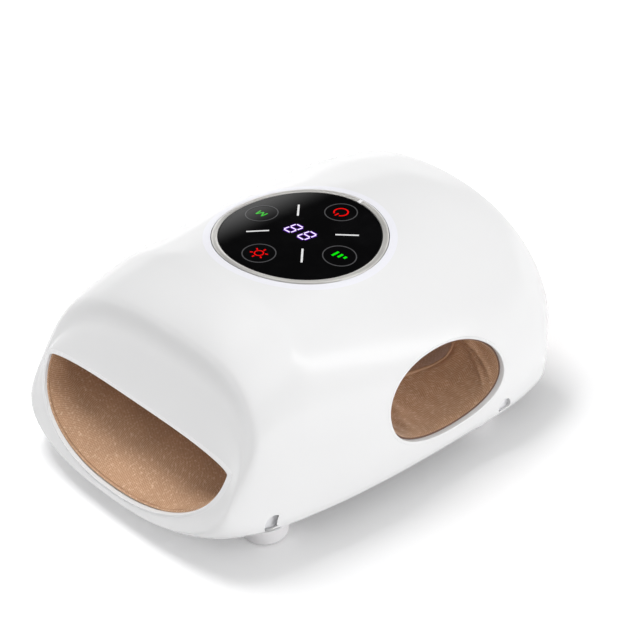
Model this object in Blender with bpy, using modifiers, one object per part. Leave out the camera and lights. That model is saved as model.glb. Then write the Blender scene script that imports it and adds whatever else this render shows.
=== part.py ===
"""Hand massager with air bags, heat and a touch panel, modelled as its separate pieces.

Metres, +Z up. The fingers point along -Y, the wrist end is +Y, and the feet stand on Z = 0.
The body is a tube lofted through leaning stations: each station is a plane
Y = place + lean * height, and its outline is a rounded arch over a flatter floor.
"""
import math

import bmesh
import bpy
from mathutils import Matrix, Vector

# Walls, gaps and the overrun of cuts
SHELL_WALL = 0.0022
LIP_WALL = 0.0011
NOSE_WALL_PUSH = 0.0026
CLEARANCE = 0.0003
CUT_OVERRUN = 0.002
FOOT_HEIGHT = 0.0095

# Hand tunnel inside the fabric
TUNNEL_HALF_WIDTH = 0.060
TUNNEL_ROOF = 0.0445
TUNNEL_FLOOR = 0.0105
TUNNEL_WIDEST = 0.024
LINER_THICKNESS = 0.0010
LINER_SETBACK = 0.0022
FRAME_WALL = 0.0020

# Press pads and air bags
PAD_THICKNESS = 0.0040
PAD_REVEAL = 0.0002
PAD_GAP = 0.0110
PAD_CORNER = 0.006
BAG_THICKNESS = 0.0020
POCKET_WALL = 0.0020
POCKET_PLAY = 0.0005
HOUSING_FOOT = 0.0026
HOSE_HOLE_RADIUS = 0.0030
FINGER_PAD_LENGTH = 0.034
FINGER_PAD_SIDE = 0.0150
FINGER_ROOF_SHARE = 0.906
PALM_PAD_LENGTH = 0.084
PALM_PAD_SIDE = 0.0170

# Battery and pump, which set the shell's height and width
CELL_RADIUS = 0.0092
CELL_LENGTH = 0.065
CELL_HEADROOM = 0.0047
HOLDER_WALL = 0.0016
MOTOR_RADIUS = 0.0098
MOTOR_LENGTH = 0.0185
PUMP_INNER_GAP = 0.0024
PUMP_OUTER_GAP = 0.0048

# Whole body, built round the pads, the battery and the pump
NOSE_LENGTH = 0.04235
WRIST_LENGTH = 0.04035
BODY_LENGTH = NOSE_LENGTH + FINGER_PAD_LENGTH + PAD_GAP + PALM_PAD_LENGTH + WRIST_LENGTH
FINGER_PAD_FRONT_Y = NOSE_LENGTH - BODY_LENGTH / 2
FINGER_PAD_REAR_Y = FINGER_PAD_FRONT_Y + FINGER_PAD_LENGTH
PALM_PAD_FRONT_Y = FINGER_PAD_REAR_Y + PAD_GAP
PALM_PAD_REAR_Y = PALM_PAD_FRONT_Y + PALM_PAD_LENGTH
FINGER_PAD_Z = TUNNEL_ROOF * FINGER_ROOF_SHARE + PAD_REVEAL
PALM_PAD_Z = TUNNEL_ROOF + PAD_REVEAL
POCKET_ROOF = PAD_THICKNESS + BAG_THICKNESS + 3 * CLEARANCE
FINGER_ROOF_TOP = FINGER_PAD_Z + POCKET_ROOF + POCKET_WALL
PALM_ROOF_TOP = PALM_PAD_Z + POCKET_ROOF + POCKET_WALL
FRAME_SIDE = TUNNEL_HALF_WIDTH + LINER_THICKNESS + CLEARANCE + FRAME_WALL
PUMP_X = FRAME_SIDE + PUMP_INNER_GAP + MOTOR_RADIUS
BODY_HALF_WIDTH = PUMP_X + MOTOR_RADIUS + PUMP_OUTER_GAP + SHELL_WALL
BODY_HEIGHT = FINGER_ROOF_TOP + HOLDER_WALL + 2 * CLEARANCE + 2 * CELL_RADIUS + CELL_HEADROOM + SHELL_WALL

# Finger opening lip and wrist cover
BEZEL_THICKNESS = 0.0009
BEZEL_DEPTH = 0.0014
BEZEL_PROUD = 0.0009
COVER_THICKNESS = 0.0030
COVER_RECESS = 0.0015
COVER_EDGE_RADIUS = 0.0010
COVER_LIP = 0.0003

# Thumb holes
THUMB_HOLE_LENGTH = 0.068
THUMB_HOLE_HEIGHT = 0.0372
THUMB_HOLE_SETBACK = 0.08645
THUMB_HOLE_RISE = 0.0016
THUMB_HOLE_Y = BODY_LENGTH / 2 - THUMB_HOLE_SETBACK
THUMB_HOLE_Z = (TUNNEL_FLOOR + TUNNEL_ROOF) / 2 + THUMB_HOLE_RISE
THUMB_RIM_WALL = 0.0012
THUMB_RIM_DEPTH = 0.0040
THUMB_RIM_PROUD = 0.0003
THUMB_FULLNESS_SHARE = 2.2

# Touch panel
RING_RADIUS = 0.0401
RING_WIDTH = 0.0034
RING_PROUD = 0.0007
RING_GAP = 0.0022
SEAT_WIDTH = 0.0023
SEAT_SPREAD = 0.0016
PANEL_SEAT_DEPTH = 0.0050
PANEL_GAP = 0.0027
PANEL_REAR_SINK = 0.0006
PANEL_CROWN_RADIUS = 0.278
PANEL_Y = FINGER_PAD_REAR_Y + POCKET_PLAY + POCKET_WALL + PANEL_GAP + RING_RADIUS
GLASS_THICKNESS = 0.0016
TRAY_DEPTH = 0.0063
TRAY_LEDGE = 0.0050
BOARD_THICKNESS = 0.0014
KEY_RADIUS = 0.0253
KEY_SPRING_RADIUS = 0.0032
KEY_WIRE_RADIUS = 0.0003
KEY_SPRING_TURNS = 2
RIBBON_WIDTH = 0.0080
RIBBON_THICKNESS = 0.0004
LEAD_RADIUS = 0.0007
DISPLAY_LENGTH = 0.022
DISPLAY_WIDTH = 0.014

# Base, feet and screws
BASE_THICKNESS = 0.0026
BASE_END_SETBACK = 0.02085
BASE_BOSS_GAP = 0.0009
FOOT_TOP_RADIUS = 0.0110
FOOT_BOTTOM_RADIUS = 0.0085
FOOT_EDGE_RADIUS = 0.0022
FOOT_FRONT_SETBACK = 0.03835
FOOT_REAR_SETBACK = 0.05895
FOOT_FRONT_INSET = 0.0142
FOOT_REAR_INSET = 0.0186
FOOT_SOCKET_RADIUS = 0.0040
FOOT_SOCKET_DEPTH = 0.0035
SCREW_HEAD_RADIUS = 0.0029
SCREW_HEAD_HEIGHT = 0.0018
SCREW_SHANK_RADIUS = 0.0012
SCREW_LENGTH = 0.0090
SCREW_PLAY = 0.0003
POCKET_RADIUS = 0.0044
POCKET_HEIGHT = 0.0044
POCKET_FLOOR_LIP = 0.0008
SIDE_POCKET_DEPTH = 0.0055
BOSS_WALL = 0.0014
SIDE_FRONT_SETBACK = 0.03285
SIDE_REAR_SETBACK = 0.05335
SIDE_FRONT_Y = SIDE_FRONT_SETBACK - BODY_LENGTH / 2
SIDE_REAR_Y = BODY_LENGTH / 2 - SIDE_REAR_SETBACK
BASE_INSET = SIDE_POCKET_DEPTH + BOSS_WALL + BASE_BOSS_GAP
BASE_FRONT_Y = BASE_END_SETBACK - BODY_LENGTH / 2
BASE_REAR_Y = BODY_LENGTH / 2 - BASE_END_SETBACK
FOOT_FRONT_Y = FOOT_FRONT_SETBACK - BODY_LENGTH / 2
FOOT_REAR_Y = BODY_LENGTH / 2 - FOOT_REAR_SETBACK

# Lower frame, node plate and heating film
NODE_PLATE_LENGTH = 0.072
NODE_PLATE_HALF_WIDTH = 0.040
NODE_PLATE_THICKNESS = 0.0014
NODE_PLATE_Y = (PALM_PAD_FRONT_Y + PALM_PAD_REAR_Y) / 2 - PAD_THICKNESS / 2
NODE_RADIUS = 0.0042
NODE_HEIGHT = 0.0018
NODE_ROWS = 4
NODE_COLUMNS = 3
NODE_PITCH_X = 0.0220
NODE_PITCH_Y = 0.0170
FILM_THICKNESS = 0.0003
RAIL_WIDTH = 0.0044

# Boards, valves and the rest of the pump
MAIN_BOARD_WIDTH = 0.054
MAIN_BOARD_LENGTH = 0.036
MAIN_BOARD_SETBACK = 0.0105
MAIN_BOARD_Y = PALM_PAD_FRONT_Y + MAIN_BOARD_SETBACK + MAIN_BOARD_LENGTH / 2
POST_HEIGHT = 0.0020
POST_RADIUS = 0.0022
CHIP_SIZE = 0.0100
CHIP_HEIGHT = 0.0016
BUZZER_RADIUS = 0.0045
BUZZER_HEIGHT = 0.0050
VALVE_WIDTH = 0.0120
VALVE_HEIGHT = 0.0110
VALVE_X = 0.0180
VALVE_INSET = 0.0015
VALVE_Y = PALM_PAD_REAR_Y - VALVE_INSET
VALVE_BORE_RADIUS = 0.0028
PLUNGER_RADIUS = 0.0025
PLUNGER_LENGTH = 0.0055
VALVE_SPRING_RADIUS = 0.0018
VALVE_ROOF = 0.0010
MANIFOLD_WIDTH = 0.0080
MANIFOLD_HEIGHT = 0.0090
HOSE_RADIUS = 0.0020
PUMP_Z = 0.0148
PUMP_REAR_SETBACK = 0.04635
PUMP_FRONT_Y = BODY_LENGTH / 2 - PUMP_REAR_SETBACK
SHAFT_RADIUS = 0.0012
SHAFT_BORE_RADIUS = 0.0015
SHAFT_LENGTH = 0.0140
SHAFT_BORE_DEPTH = 0.0090
CAM_RADIUS = 0.0044
CAM_OFFSET = 0.0012
CAM_THICKNESS = 0.0028
HEAD_WIDTH = 0.0150
HEAD_HEIGHT = 0.0160
HEAD_LENGTH = 0.0100
HEAD_WALL = 0.0014
SADDLE_LENGTH = 0.0100
SADDLE_WIDTH = 0.0090
SADDLE_HEIGHT = 0.0050
SOCKET_SIDE_GAP = 0.0021
SOCKET_Z = 0.0230
SOCKET_WIDTH = 0.0092
SOCKET_HEIGHT = 0.0036
SOCKET_DEPTH = 0.0078
SOCKET_SETBACK = 0.0006
CHARGE_BOARD_WIDTH = 0.0120
CHARGE_BOARD_LENGTH = 0.0120
SOCKET_X = -(FRAME_SIDE + SOCKET_SIDE_GAP + CHARGE_BOARD_WIDTH / 2)
SHELF_THICKNESS = 0.0016

# Body stations: place along the length, lean, width, height, widest level, floor lift,
# fullness of the arch and fullness of the floor
BODY_STATION_SHARES = (
    (0.0047, 0.62, 0.664, 0.481, 0.416, 0.0117, 3.40, 2.2),
    (0.0000, 0.73, 0.697, 0.690, 0.312, 0.0, 2.78, 2.5),
    (0.0642, 0.47, 0.748, 0.870, 0.195, 0.0, 3.10, 4.0),
    (0.1266, 0.50, 0.795, 0.956, 0.156, 0.0, 2.90, 5.2),
    (0.2145, 0.40, 0.843, 0.999, 0.156, 0.0, 2.54, 8.0),
    (0.3325, 0.27, 0.900, 1.006, 0.156, 0.0, 2.28, 9.0),
    (0.4743, 0.12, 0.948, 1.000, 0.156, 0.0, 2.14, 9.0),
    (0.6160, 0.00, 0.979, 0.988, 0.156, 0.0, 2.06, 9.0),
    (0.7577, 0.08, 1.000, 0.960, 0.156, 0.0, 2.01, 9.0),
    (0.8663, 0.15, 0.974, 0.938, 0.156, 0.0, 1.96, 9.0),
    (0.9372, 0.193, 0.862, 0.895, 0.156, 0.0, 2.13, 9.0),
)
# Tunnel stations: lean, width, roof, widest level, floor, fullness of arch and floor
TUNNEL_STATION_SHARES = (
    (0.62, 0.955, 0.745, 1.30, 0.450, 3.4, 2.2),
    (0.45, 0.967, 0.854, 1.08, 0.762, 3.6, 2.6),
    (0.20, 0.983, 0.899, 1.00, 0.952, 4.5, 3.0),
    (0.00, 1.000, FINGER_ROOF_SHARE, 1.00, 1.000, 4.5, 3.0),
    (0.00, 1.000, 0.933, 1.00, 1.000, 4.5, 3.0),
    (0.00, 1.000, 0.990, 1.00, 1.000, 4.5, 3.0),
    (0.00, 1.000, 1.000, 1.00, 1.000, 4.5, 3.0),
    (0.05, 1.000, 1.022, 1.00, 0.985, 4.2, 3.0),
    (0.12, 1.005, 1.085, 1.03, 0.800, 3.6, 3.0),
    (0.193, 1.033, 1.190, 1.10, 0.500, 3.2, 3.0),
)
TUNNEL_NOSE_SHARES = (0.411, 0.741)
TUNNEL_PAD_SHARES = (0.69, 0.69)
TUNNEL_WRIST_SHARES = (0.10, 0.317, 0.543)
ARCH_STEPS = 18
FLOOR_TURN_SHARES = (0.035, 0.13, 0.30, 0.52, 0.76, 1.0)
BODY_RINGS = 21
TUNNEL_RING_STATIONS = (0, 0.5, 1, 2, 3, 4, 4.5, 5, 6, 7, 8, 8.5, 9)
FRAME_FIRST_RING = 3
NOSE_RUN_SHARE = 0.30

parts = bpy.data.collections.new("hand_massager")
cutters = bpy.data.collections.new("hand_massager_cutters")
materials = {}


def clear_scene():
    """Remove whatever the scene holds."""
    for thing in list(bpy.data.objects):
        bpy.data.objects.remove(thing, do_unlink=True)
    bpy.context.scene.collection.children.link(parts)
    bpy.context.scene.collection.children.link(cutters)


def finish(name, colour, roughness, metallic=0.0):
    """Make one named Principled material."""
    made = bpy.data.materials.new(name)
    made.use_nodes = True
    shader = made.node_tree.nodes["Principled BSDF"]
    shader.inputs["Base Color"].default_value = (*colour, 1.0)
    shader.inputs["Roughness"].default_value = roughness
    shader.inputs["Metallic"].default_value = metallic
    materials[name] = made


def add_part(name, mesh, material, smooth_angle=0.6):
    """Put a mesh in the scene as one piece."""
    made = bpy.data.objects.new(name, mesh)
    parts.objects.link(made)
    mesh.materials.clear()
    mesh.materials.append(materials[material])
    mesh.shade_smooth()
    mesh.set_sharp_from_angle(angle=smooth_angle)
    return made


def add_cutter(name, mesh):
    """Put a mesh in the scene as a cutter or guide, which is not a piece."""
    made = bpy.data.objects.new(name, mesh)
    cutters.objects.link(made)
    made.hide_render = True
    made.display_type = "WIRE"
    return made


def boolean(piece, other, operation):
    """Cut, join or keep what a piece shares with another object."""
    step = piece.modifiers.new(other.name, "BOOLEAN")
    step.operation = operation
    step.object = other
    step.solver = "EXACT"


def mesh_from(loops, closed_tube=False):
    """Skin a row of equal loops: capped at both ends, or closed round like a ring."""
    shape = bmesh.new()
    rows = [[shape.verts.new(point) for point in loop] for loop in loops]
    count = len(loops[0])
    pairs = list(zip(rows, rows[1:]))
    if closed_tube:
        pairs.append((rows[-1], rows[0]))
    for row, following in pairs:
        for step in range(count):
            after = (step + 1) % count
            shape.faces.new((row[step], row[after], following[after], following[step]))
    if not closed_tube:
        shape.faces.new(list(reversed(rows[0])))
        shape.faces.new(rows[-1])
    bmesh.ops.recalc_face_normals(shape, faces=shape.faces)
    mesh = bpy.data.meshes.new("skin")
    shape.to_mesh(mesh)
    shape.free()
    return mesh


def box_mesh(size, centre):
    """A box of a given size about its centre."""
    shape = bmesh.new()
    bmesh.ops.create_cube(shape, size=1.0)
    bmesh.ops.scale(shape, vec=size, verts=shape.verts)
    bmesh.ops.translate(shape, vec=centre, verts=shape.verts)
    mesh = bpy.data.meshes.new("block")
    shape.to_mesh(mesh)
    shape.free()
    return mesh


def rounded_box_mesh(size, centre, corner, segments=3):
    """A box whose four upright edges are rounded."""
    shape = bmesh.new()
    bmesh.ops.create_cube(shape, size=1.0)
    bmesh.ops.scale(shape, vec=size, verts=shape.verts)
    upright = [e for e in shape.edges if abs(e.verts[0].co.z - e.verts[1].co.z) > size[2] / 2]
    bmesh.ops.bevel(shape, geom=upright, offset=corner, segments=segments, affect="EDGES", profile=0.5)
    bmesh.ops.translate(shape, vec=centre, verts=shape.verts)
    mesh = bpy.data.meshes.new("pad")
    shape.to_mesh(mesh)
    shape.free()
    return mesh


def round_mesh(radius, length, centre, axis="Z", segments=16):
    """A cylinder about its centre, along one axis."""
    turns = {
        "Z": Matrix.Identity(3),
        "X": Matrix.Rotation(math.pi / 2, 3, "Y"),
        "Y": Matrix.Rotation(math.pi / 2, 3, "X"),
    }
    shape = bmesh.new()
    bmesh.ops.create_cone(
        shape,
        cap_ends=True,
        segments=segments,
        radius1=radius,
        radius2=radius,
        depth=length,
    )
    bmesh.ops.rotate(shape, cent=(0, 0, 0), matrix=turns[axis], verts=shape.verts)
    bmesh.ops.translate(shape, vec=centre, verts=shape.verts)
    mesh = bpy.data.meshes.new("round")
    shape.to_mesh(mesh)
    shape.free()
    return mesh


def turned_part(name, profile, material, place, turn=(0, 0, 0), steps=16, ring=False):
    """A piece turned about its own Z axis from a half profile, top to bottom on the outer side."""
    mesh = bpy.data.meshes.new(name)
    points = [(radius, 0, height) for radius, height in profile]
    edges = [(step, step + 1) for step in range(len(points) - 1)]
    if ring:
        edges.append((len(points) - 1, 0))
    mesh.from_pydata(points, edges, [])
    made = bpy.data.objects.new(name, mesh)
    parts.objects.link(made)
    made.location = place
    made.rotation_euler = turn
    spin = made.modifiers.new("Turn", "SCREW")
    spin.axis = "Z"
    spin.steps = steps
    spin.render_steps = steps
    spin.use_merge_vertices = True
    spin.merge_threshold = 0.00001
    spin.use_smooth_shade = True
    mesh.materials.append(materials[material])
    return made


def smooth_row(table, share):
    """Read a table of stations at a share of its run, with smooth slopes and no overshoot."""
    last = len(table) - 1
    place = min(max(share, 0.0), 1.0) * last
    low = min(int(place), last - 1)
    part = place - low
    row = []
    for column in range(len(table[0])):
        value = [station[column] for station in table]
        rise = [after - before for before, after in zip(value, value[1:])]
        slope = []
        for at in (low, low + 1):
            if at in (0, last):
                slope.append(rise[0] if at == 0 else rise[-1])
            else:
                before, after = rise[at - 1], rise[at]
                level = before * after <= 0
                slope.append(0.0 if level else 2 * before * after / (before + after))
        square = part * part
        cube = square * part
        row.append(
            value[low] * (2 * cube - 3 * square + 1)
            + slope[0] * (cube - 2 * square + part)
            + value[low + 1] * (3 * square - 2 * cube)
            + slope[1] * (cube - square)
        )
    return row


def signed_power(value, power):
    """Raise the size of a value to a power and keep its sign."""
    return math.copysign(abs(value) ** power, value)


def body_sizes(share, inset=0.0):
    """Place, lean, half width, crown, widest, floor and fullness of the body at one station."""
    place, lean, width, height, widest, lift, arch, floor = smooth_row(BODY_STATION_SHARES, share)
    return (
        (place - 0.5) * BODY_LENGTH,
        lean,
        BODY_HALF_WIDTH * width - inset,
        BODY_HEIGHT * height - inset,
        BODY_HEIGHT * widest,
        BODY_HEIGHT * lift + inset,
        arch,
        floor,
    )


def tunnel_places():
    """Y of each tunnel station: in the nose, at the pads and towards the wrist."""
    front = BODY_STATION_SHARES[0][0] * BODY_LENGTH - BODY_LENGTH / 2
    step = POCKET_PLAY + POCKET_WALL
    return [
        front + LINER_SETBACK,
        *(NOSE_LENGTH * share - BODY_LENGTH / 2 for share in TUNNEL_NOSE_SHARES),
        FINGER_PAD_FRONT_Y + FINGER_PAD_LENGTH * TUNNEL_PAD_SHARES[0],
        FINGER_PAD_REAR_Y + step,
        PALM_PAD_FRONT_Y - step - POCKET_PLAY,
        PALM_PAD_FRONT_Y + PALM_PAD_LENGTH * TUNNEL_PAD_SHARES[1],
        *(PALM_PAD_REAR_Y + WRIST_LENGTH * share for share in TUNNEL_WRIST_SHARES),
    ]


def tunnel_sizes(share, grow=0.0):
    """The same eight values for the hand tunnel, grown outward by a distance."""
    table = [(place, *row) for place, row in zip(tunnel_places(), TUNNEL_STATION_SHARES)]
    place, lean, width, roof, widest, floor_level, arch, floor = smooth_row(table, share)
    return (
        place,
        lean,
        TUNNEL_HALF_WIDTH * width + grow,
        TUNNEL_ROOF * roof + grow,
        TUNNEL_WIDEST * widest,
        TUNNEL_FLOOR * floor_level - grow,
        arch,
        floor,
    )


def station_point(sizes, angle, push=0.0):
    """One point of a station's outline; push moves it along Y."""
    place, lean, half_width, crown, widest, low, arch, floor = sizes
    across, rise = math.cos(angle), math.sin(angle)
    if rise >= 0:
        x = half_width * signed_power(across, 2 / arch)
        z = widest + (crown - widest) * signed_power(rise, 2 / arch)
    else:
        x = half_width * signed_power(across, 2 / floor)
        z = widest + (widest - low) * signed_power(rise, 2 / floor)
    return Vector((x, place + lean * z + push, z + FOOT_HEIGHT))


def arch_angles():
    """Angles over the arch of a station, side to side."""
    return [math.pi * step / ARCH_STEPS for step in range(ARCH_STEPS + 1)]


def ring_angles():
    """Angles round a closed station: over the arch, then along the floor."""
    over = arch_angles()
    down = [math.pi + math.pi / 2 * share for share in FLOOR_TURN_SHARES]
    back = [2 * math.pi - math.pi / 2 * share for share in reversed(FLOOR_TURN_SHARES[:-1])]
    return over + down + back


def station_loop(sizes, push=0.0):
    """The closed outline of one station."""
    return [station_point(sizes, angle, push) for angle in ring_angles()]


def shares_between(first, last, count):
    """Evenly spaced shares, both ends included."""
    return [first + (last - first) * step / (count - 1) for step in range(count)]


def tunnel_shares():
    """Shares of the tunnel's run at which it has a ring."""
    return [station / (len(TUNNEL_STATION_SHARES) - 1) for station in TUNNEL_RING_STATIONS]


def nose_push(share):
    """How far the shell's inner side is set back at the nose, where the stations lean with the skin."""
    overhang = max(0.0, body_sizes(0.0)[0] - body_sizes(share)[0])
    return overhang + NOSE_WALL_PUSH * max(0.0, 1 - share / NOSE_RUN_SHARE)


def body_wall(share):
    """Shell wall at a station: thin at the lip, full after it."""
    return LIP_WALL + (SHELL_WALL - LIP_WALL) * min(share / 0.1, 1.0)


def body_solid(name, inset):
    """The body's outline as a guide solid, inset from its skin."""
    loops = [station_loop(body_sizes(share, inset)) for share in shares_between(0.0, 1.0, BODY_RINGS)]
    return add_cutter(name, mesh_from(loops))


def body_reach(y, level):
    """Half width of the body's skin at a place along Y and a height above its lower edge."""
    best = None
    for share in shares_between(0.0, 1.0, 200):
        place, lean, half_width, crown, widest, low, arch, floor = body_sizes(share)
        off = abs(place + lean * level - y)
        if best is None or off < best[0]:
            if level >= widest:
                part = min((level - widest) / (crown - widest), 1.0)
                fullness = arch
            else:
                part = min((widest - level) / (widest - low), 1.0)
                fullness = floor
            best = (off, half_width * (1 - part**fullness) ** (1 / fullness))
    return best[1]


def oval_loop(x, length, height, turns=36):
    """An oval in a plane of constant X, at the thumb hole."""
    loop = []
    for step in range(turns):
        angle = 2 * math.pi * step / turns
        y = THUMB_HOLE_Y + length / 2 * signed_power(math.cos(angle), 2 / THUMB_FULLNESS_SHARE)
        z = THUMB_HOLE_Z + height / 2 * signed_power(math.sin(angle), 2 / THUMB_FULLNESS_SHARE)
        loop.append(Vector((x, y, z + FOOT_HEIGHT)))
    return loop


def oval_mesh(side, near, far, shrink):
    """A solid oval bar along X, smaller than the thumb hole by shrink all round."""
    length = THUMB_HOLE_LENGTH - 2 * shrink
    height = THUMB_HOLE_HEIGHT - 2 * shrink
    return mesh_from([oval_loop(side * near, length, height), oval_loop(side * far, length, height)])


def oval_tube_mesh(side, near, far, shrink, wall):
    """An oval tube along X whose outer side is smaller than the thumb hole by shrink."""
    outer_length, outer_height = THUMB_HOLE_LENGTH - 2 * shrink, THUMB_HOLE_HEIGHT - 2 * shrink
    inner_length, inner_height = outer_length - 2 * wall, outer_height - 2 * wall
    loops = [
        oval_loop(side * near, outer_length, outer_height),
        oval_loop(side * far, outer_length, outer_height),
        oval_loop(side * far, inner_length, inner_height),
        oval_loop(side * near, inner_length, inner_height),
    ]
    return mesh_from(loops, closed_tube=True)


def make_materials():
    """Colours and finishes of the pieces."""
    finish("white_gloss", (0.80, 0.80, 0.80), 0.22)
    finish("white_satin", (0.76, 0.76, 0.77), 0.40)
    finish("foot_white", (0.70, 0.69, 0.71), 0.55)
    finish("chrome", (0.62, 0.60, 0.57), 0.18, 1.0)
    finish("black_glass", (0.012, 0.012, 0.014), 0.08)
    finish("tan_knit", (0.55, 0.38, 0.25), 0.75)
    finish("frame_grey", (0.55, 0.55, 0.57), 0.50)
    finish("board_green", (0.03, 0.20, 0.09), 0.45)
    finish("chip_black", (0.02, 0.02, 0.02), 0.50)
    finish("steel", (0.55, 0.55, 0.56), 0.30, 1.0)
    finish("cell_blue", (0.06, 0.18, 0.45), 0.35)
    finish("bag_film", (0.60, 0.62, 0.64), 0.35)
    finish("rubber_black", (0.03, 0.03, 0.03), 0.80)
    finish("hose_clear", (0.70, 0.72, 0.72), 0.30)
    finish("heat_film", (0.55, 0.26, 0.05), 0.35)


def make_top_shell():
    """The one-piece white moulding: a lofted tube with the base, panel and thumb holes cut."""
    shares = shares_between(0.0, 1.0, BODY_RINGS)
    outer = [station_loop(body_sizes(share)) for share in shares]
    inner = [
        station_loop(body_sizes(share, body_wall(share)), nose_push(share))
        for share in reversed(shares)
    ]
    shell = add_part("top_shell", mesh_from(outer + inner, closed_tube=True), "white_gloss")
    boss_room = body_solid("side_boss_room", SHELL_WALL / 2)
    for side, word in ((1, "right"), (-1, "left")):
        for y, spot in ((SIDE_FRONT_Y, "front"), (SIDE_REAR_Y, "rear")):
            boss = add_cutter(
                f"side_boss_{spot}_{word}",
                pocket_mesh(side, y, POCKET_RADIUS + BOSS_WALL, 0.0, boss_span(y)),
            )
            boolean(boss, boss_room, "INTERSECT")
            boolean(shell, boss, "UNION")
    seat_radius = RING_RADIUS + SEAT_WIDTH
    bore_radius = RING_RADIUS - RING_WIDTH
    seat = [
        panel_loop(seat_radius + SEAT_SPREAD, PANEL_SEAT_DEPTH),
        panel_loop(seat_radius + SEAT_SPREAD, RING_PROUD),
        panel_loop(seat_radius, 0.0),
        panel_loop(bore_radius, 0.0),
        panel_loop(bore_radius, PANEL_SEAT_DEPTH),
    ]
    boolean(shell, add_cutter("panel_seat", mesh_from(seat, closed_tube=True)), "UNION")
    boolean(
        shell,
        base_prism("base_recess", CLEARANCE, -CUT_OVERRUN, BASE_THICKNESS + SHELL_WALL),
        "DIFFERENCE",
    )
    hole_radius = RING_RADIUS + CLEARANCE * 1.2
    hole = [
        panel_loop(hole_radius, depth, crowned=False, shift=0.5)
        for depth in (2 * PANEL_SEAT_DEPTH, -PANEL_SEAT_DEPTH)
    ]
    panel_hole = add_cutter("panel_hole", mesh_from(hole))
    boolean(shell, panel_hole, "DIFFERENCE")
    for side, word in ((1, "right"), (-1, "left")):
        hole = add_cutter(
            f"thumb_hole_{word}",
            oval_mesh(side, TUNNEL_HALF_WIDTH, BODY_HALF_WIDTH + CUT_OVERRUN, 0.0),
        )
        boolean(shell, hole, "DIFFERENCE")
        for y, spot in ((SIDE_FRONT_Y, "front"), (SIDE_REAR_Y, "rear")):
            span = (pocket_end(y), BODY_HALF_WIDTH + CUT_OVERRUN)
            pocket = add_cutter(
                f"side_pocket_{spot}_{word}",
                pocket_mesh(side, y, POCKET_RADIUS, POCKET_FLOOR_LIP, span),
            )
            boolean(shell, pocket, "DIFFERENCE")
            drill = round_mesh(
                SCREW_SHANK_RADIUS + SCREW_PLAY,
                BODY_HALF_WIDTH,
                (side * pocket_end(y), y, FOOT_HEIGHT + POCKET_HEIGHT),
                "X",
                10,
            )
            boolean(shell, add_cutter(f"side_drill_{spot}_{word}", drill), "DIFFERENCE")
    return shell


def pocket_end(y):
    """X of the floor of a side screw pocket."""
    return body_reach(y, POCKET_HEIGHT) - SHELL_WALL - SIDE_POCKET_DEPTH


def boss_span(y):
    """X range of a side boss, from its inner end to beyond the wall."""
    return (pocket_end(y) - BOSS_WALL, BODY_HALF_WIDTH + CUT_OVERRUN)


def pocket_mesh(side, y, radius, floor_level, span, turns=16):
    """A bar along X, round above and flat at a floor level, for the screw pockets."""
    loops = []
    for x in span:
        loop = []
        for step in range(turns):
            angle = 2 * math.pi * (step + 0.5) / turns
            level = max(POCKET_HEIGHT + radius * math.sin(angle), floor_level)
            loop.append(Vector((side * x, y + radius * math.cos(angle), FOOT_HEIGHT + level)))
        loops.append(loop)
    return mesh_from(loops)


def base_outline(inset):
    """Half widths of the base along Y, from the body's own floor."""
    rows = []
    for y in shares_between(BASE_FRONT_Y, BASE_REAR_Y, 13):
        rows.append([y, body_reach(y, BASE_THICKNESS) - SHELL_WALL - BASE_INSET + inset])
    rows[0][0] -= inset
    rows[-1][0] += inset
    return rows


def base_prism_mesh(grow, low, high):
    """An upright slab with the base's outline."""
    rows = base_outline(grow)
    outline = [(half, y) for y, half in rows] + [(-half, y) for y, half in reversed(rows)]
    return mesh_from([[Vector((x, y, FOOT_HEIGHT + level)) for x, y in outline] for level in (low, high)])


def base_prism(name, grow, low, high):
    """The base's outline as a cutter."""
    return add_cutter(name, base_prism_mesh(grow, low, high))


def make_base():
    """Base cover with its screw holes."""
    base = add_part("base_cover", base_prism_mesh(0.0, 0.0, BASE_THICKNESS), "white_satin")
    for name, x, y in foot_places():
        hole = round_mesh(SCREW_SHANK_RADIUS + SCREW_PLAY, BASE_THICKNESS * 3, (x, y, FOOT_HEIGHT), "Z", 10)
        boolean(base, add_cutter(f"base_hole_{name}", hole), "DIFFERENCE")


def foot_places():
    """Name and place of each foot, set in from the side of the base."""
    front_x = body_reach(FOOT_FRONT_Y, BASE_THICKNESS) - FOOT_FRONT_INSET
    rear_x = body_reach(FOOT_REAR_Y, BASE_THICKNESS) - FOOT_REAR_INSET
    return (
        ("front_right", front_x, FOOT_FRONT_Y),
        ("front_left", -front_x, FOOT_FRONT_Y),
        ("rear_right", rear_x, FOOT_REAR_Y),
        ("rear_left", -rear_x, FOOT_REAR_Y),
    )


def make_feet():
    """Tapered feet, each with a screw up through its socket into the lower frame."""
    for name, x, y in foot_places():
        top = FOOT_HEIGHT - CLEARANCE
        profile = (
            (SCREW_SHANK_RADIUS + SCREW_PLAY, top),
            (FOOT_TOP_RADIUS, top),
            (FOOT_BOTTOM_RADIUS, FOOT_EDGE_RADIUS),
            (FOOT_BOTTOM_RADIUS - FOOT_EDGE_RADIUS * 0.3, FOOT_EDGE_RADIUS * 0.3),
            (FOOT_BOTTOM_RADIUS - FOOT_EDGE_RADIUS, 0.0),
            (FOOT_SOCKET_RADIUS, 0.0),
            (FOOT_SOCKET_RADIUS, FOOT_SOCKET_DEPTH),
            (SCREW_SHANK_RADIUS + SCREW_PLAY, FOOT_SOCKET_DEPTH),
        )
        turned_part(f"foot_{name}", profile, "foot_white", (x, y, 0), steps=20, ring=True)
        add_screw(f"base_screw_{name}", (x, y, FOOT_SOCKET_DEPTH - CLEARANCE), (0, 0, 0), FOOT_HEIGHT)


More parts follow.
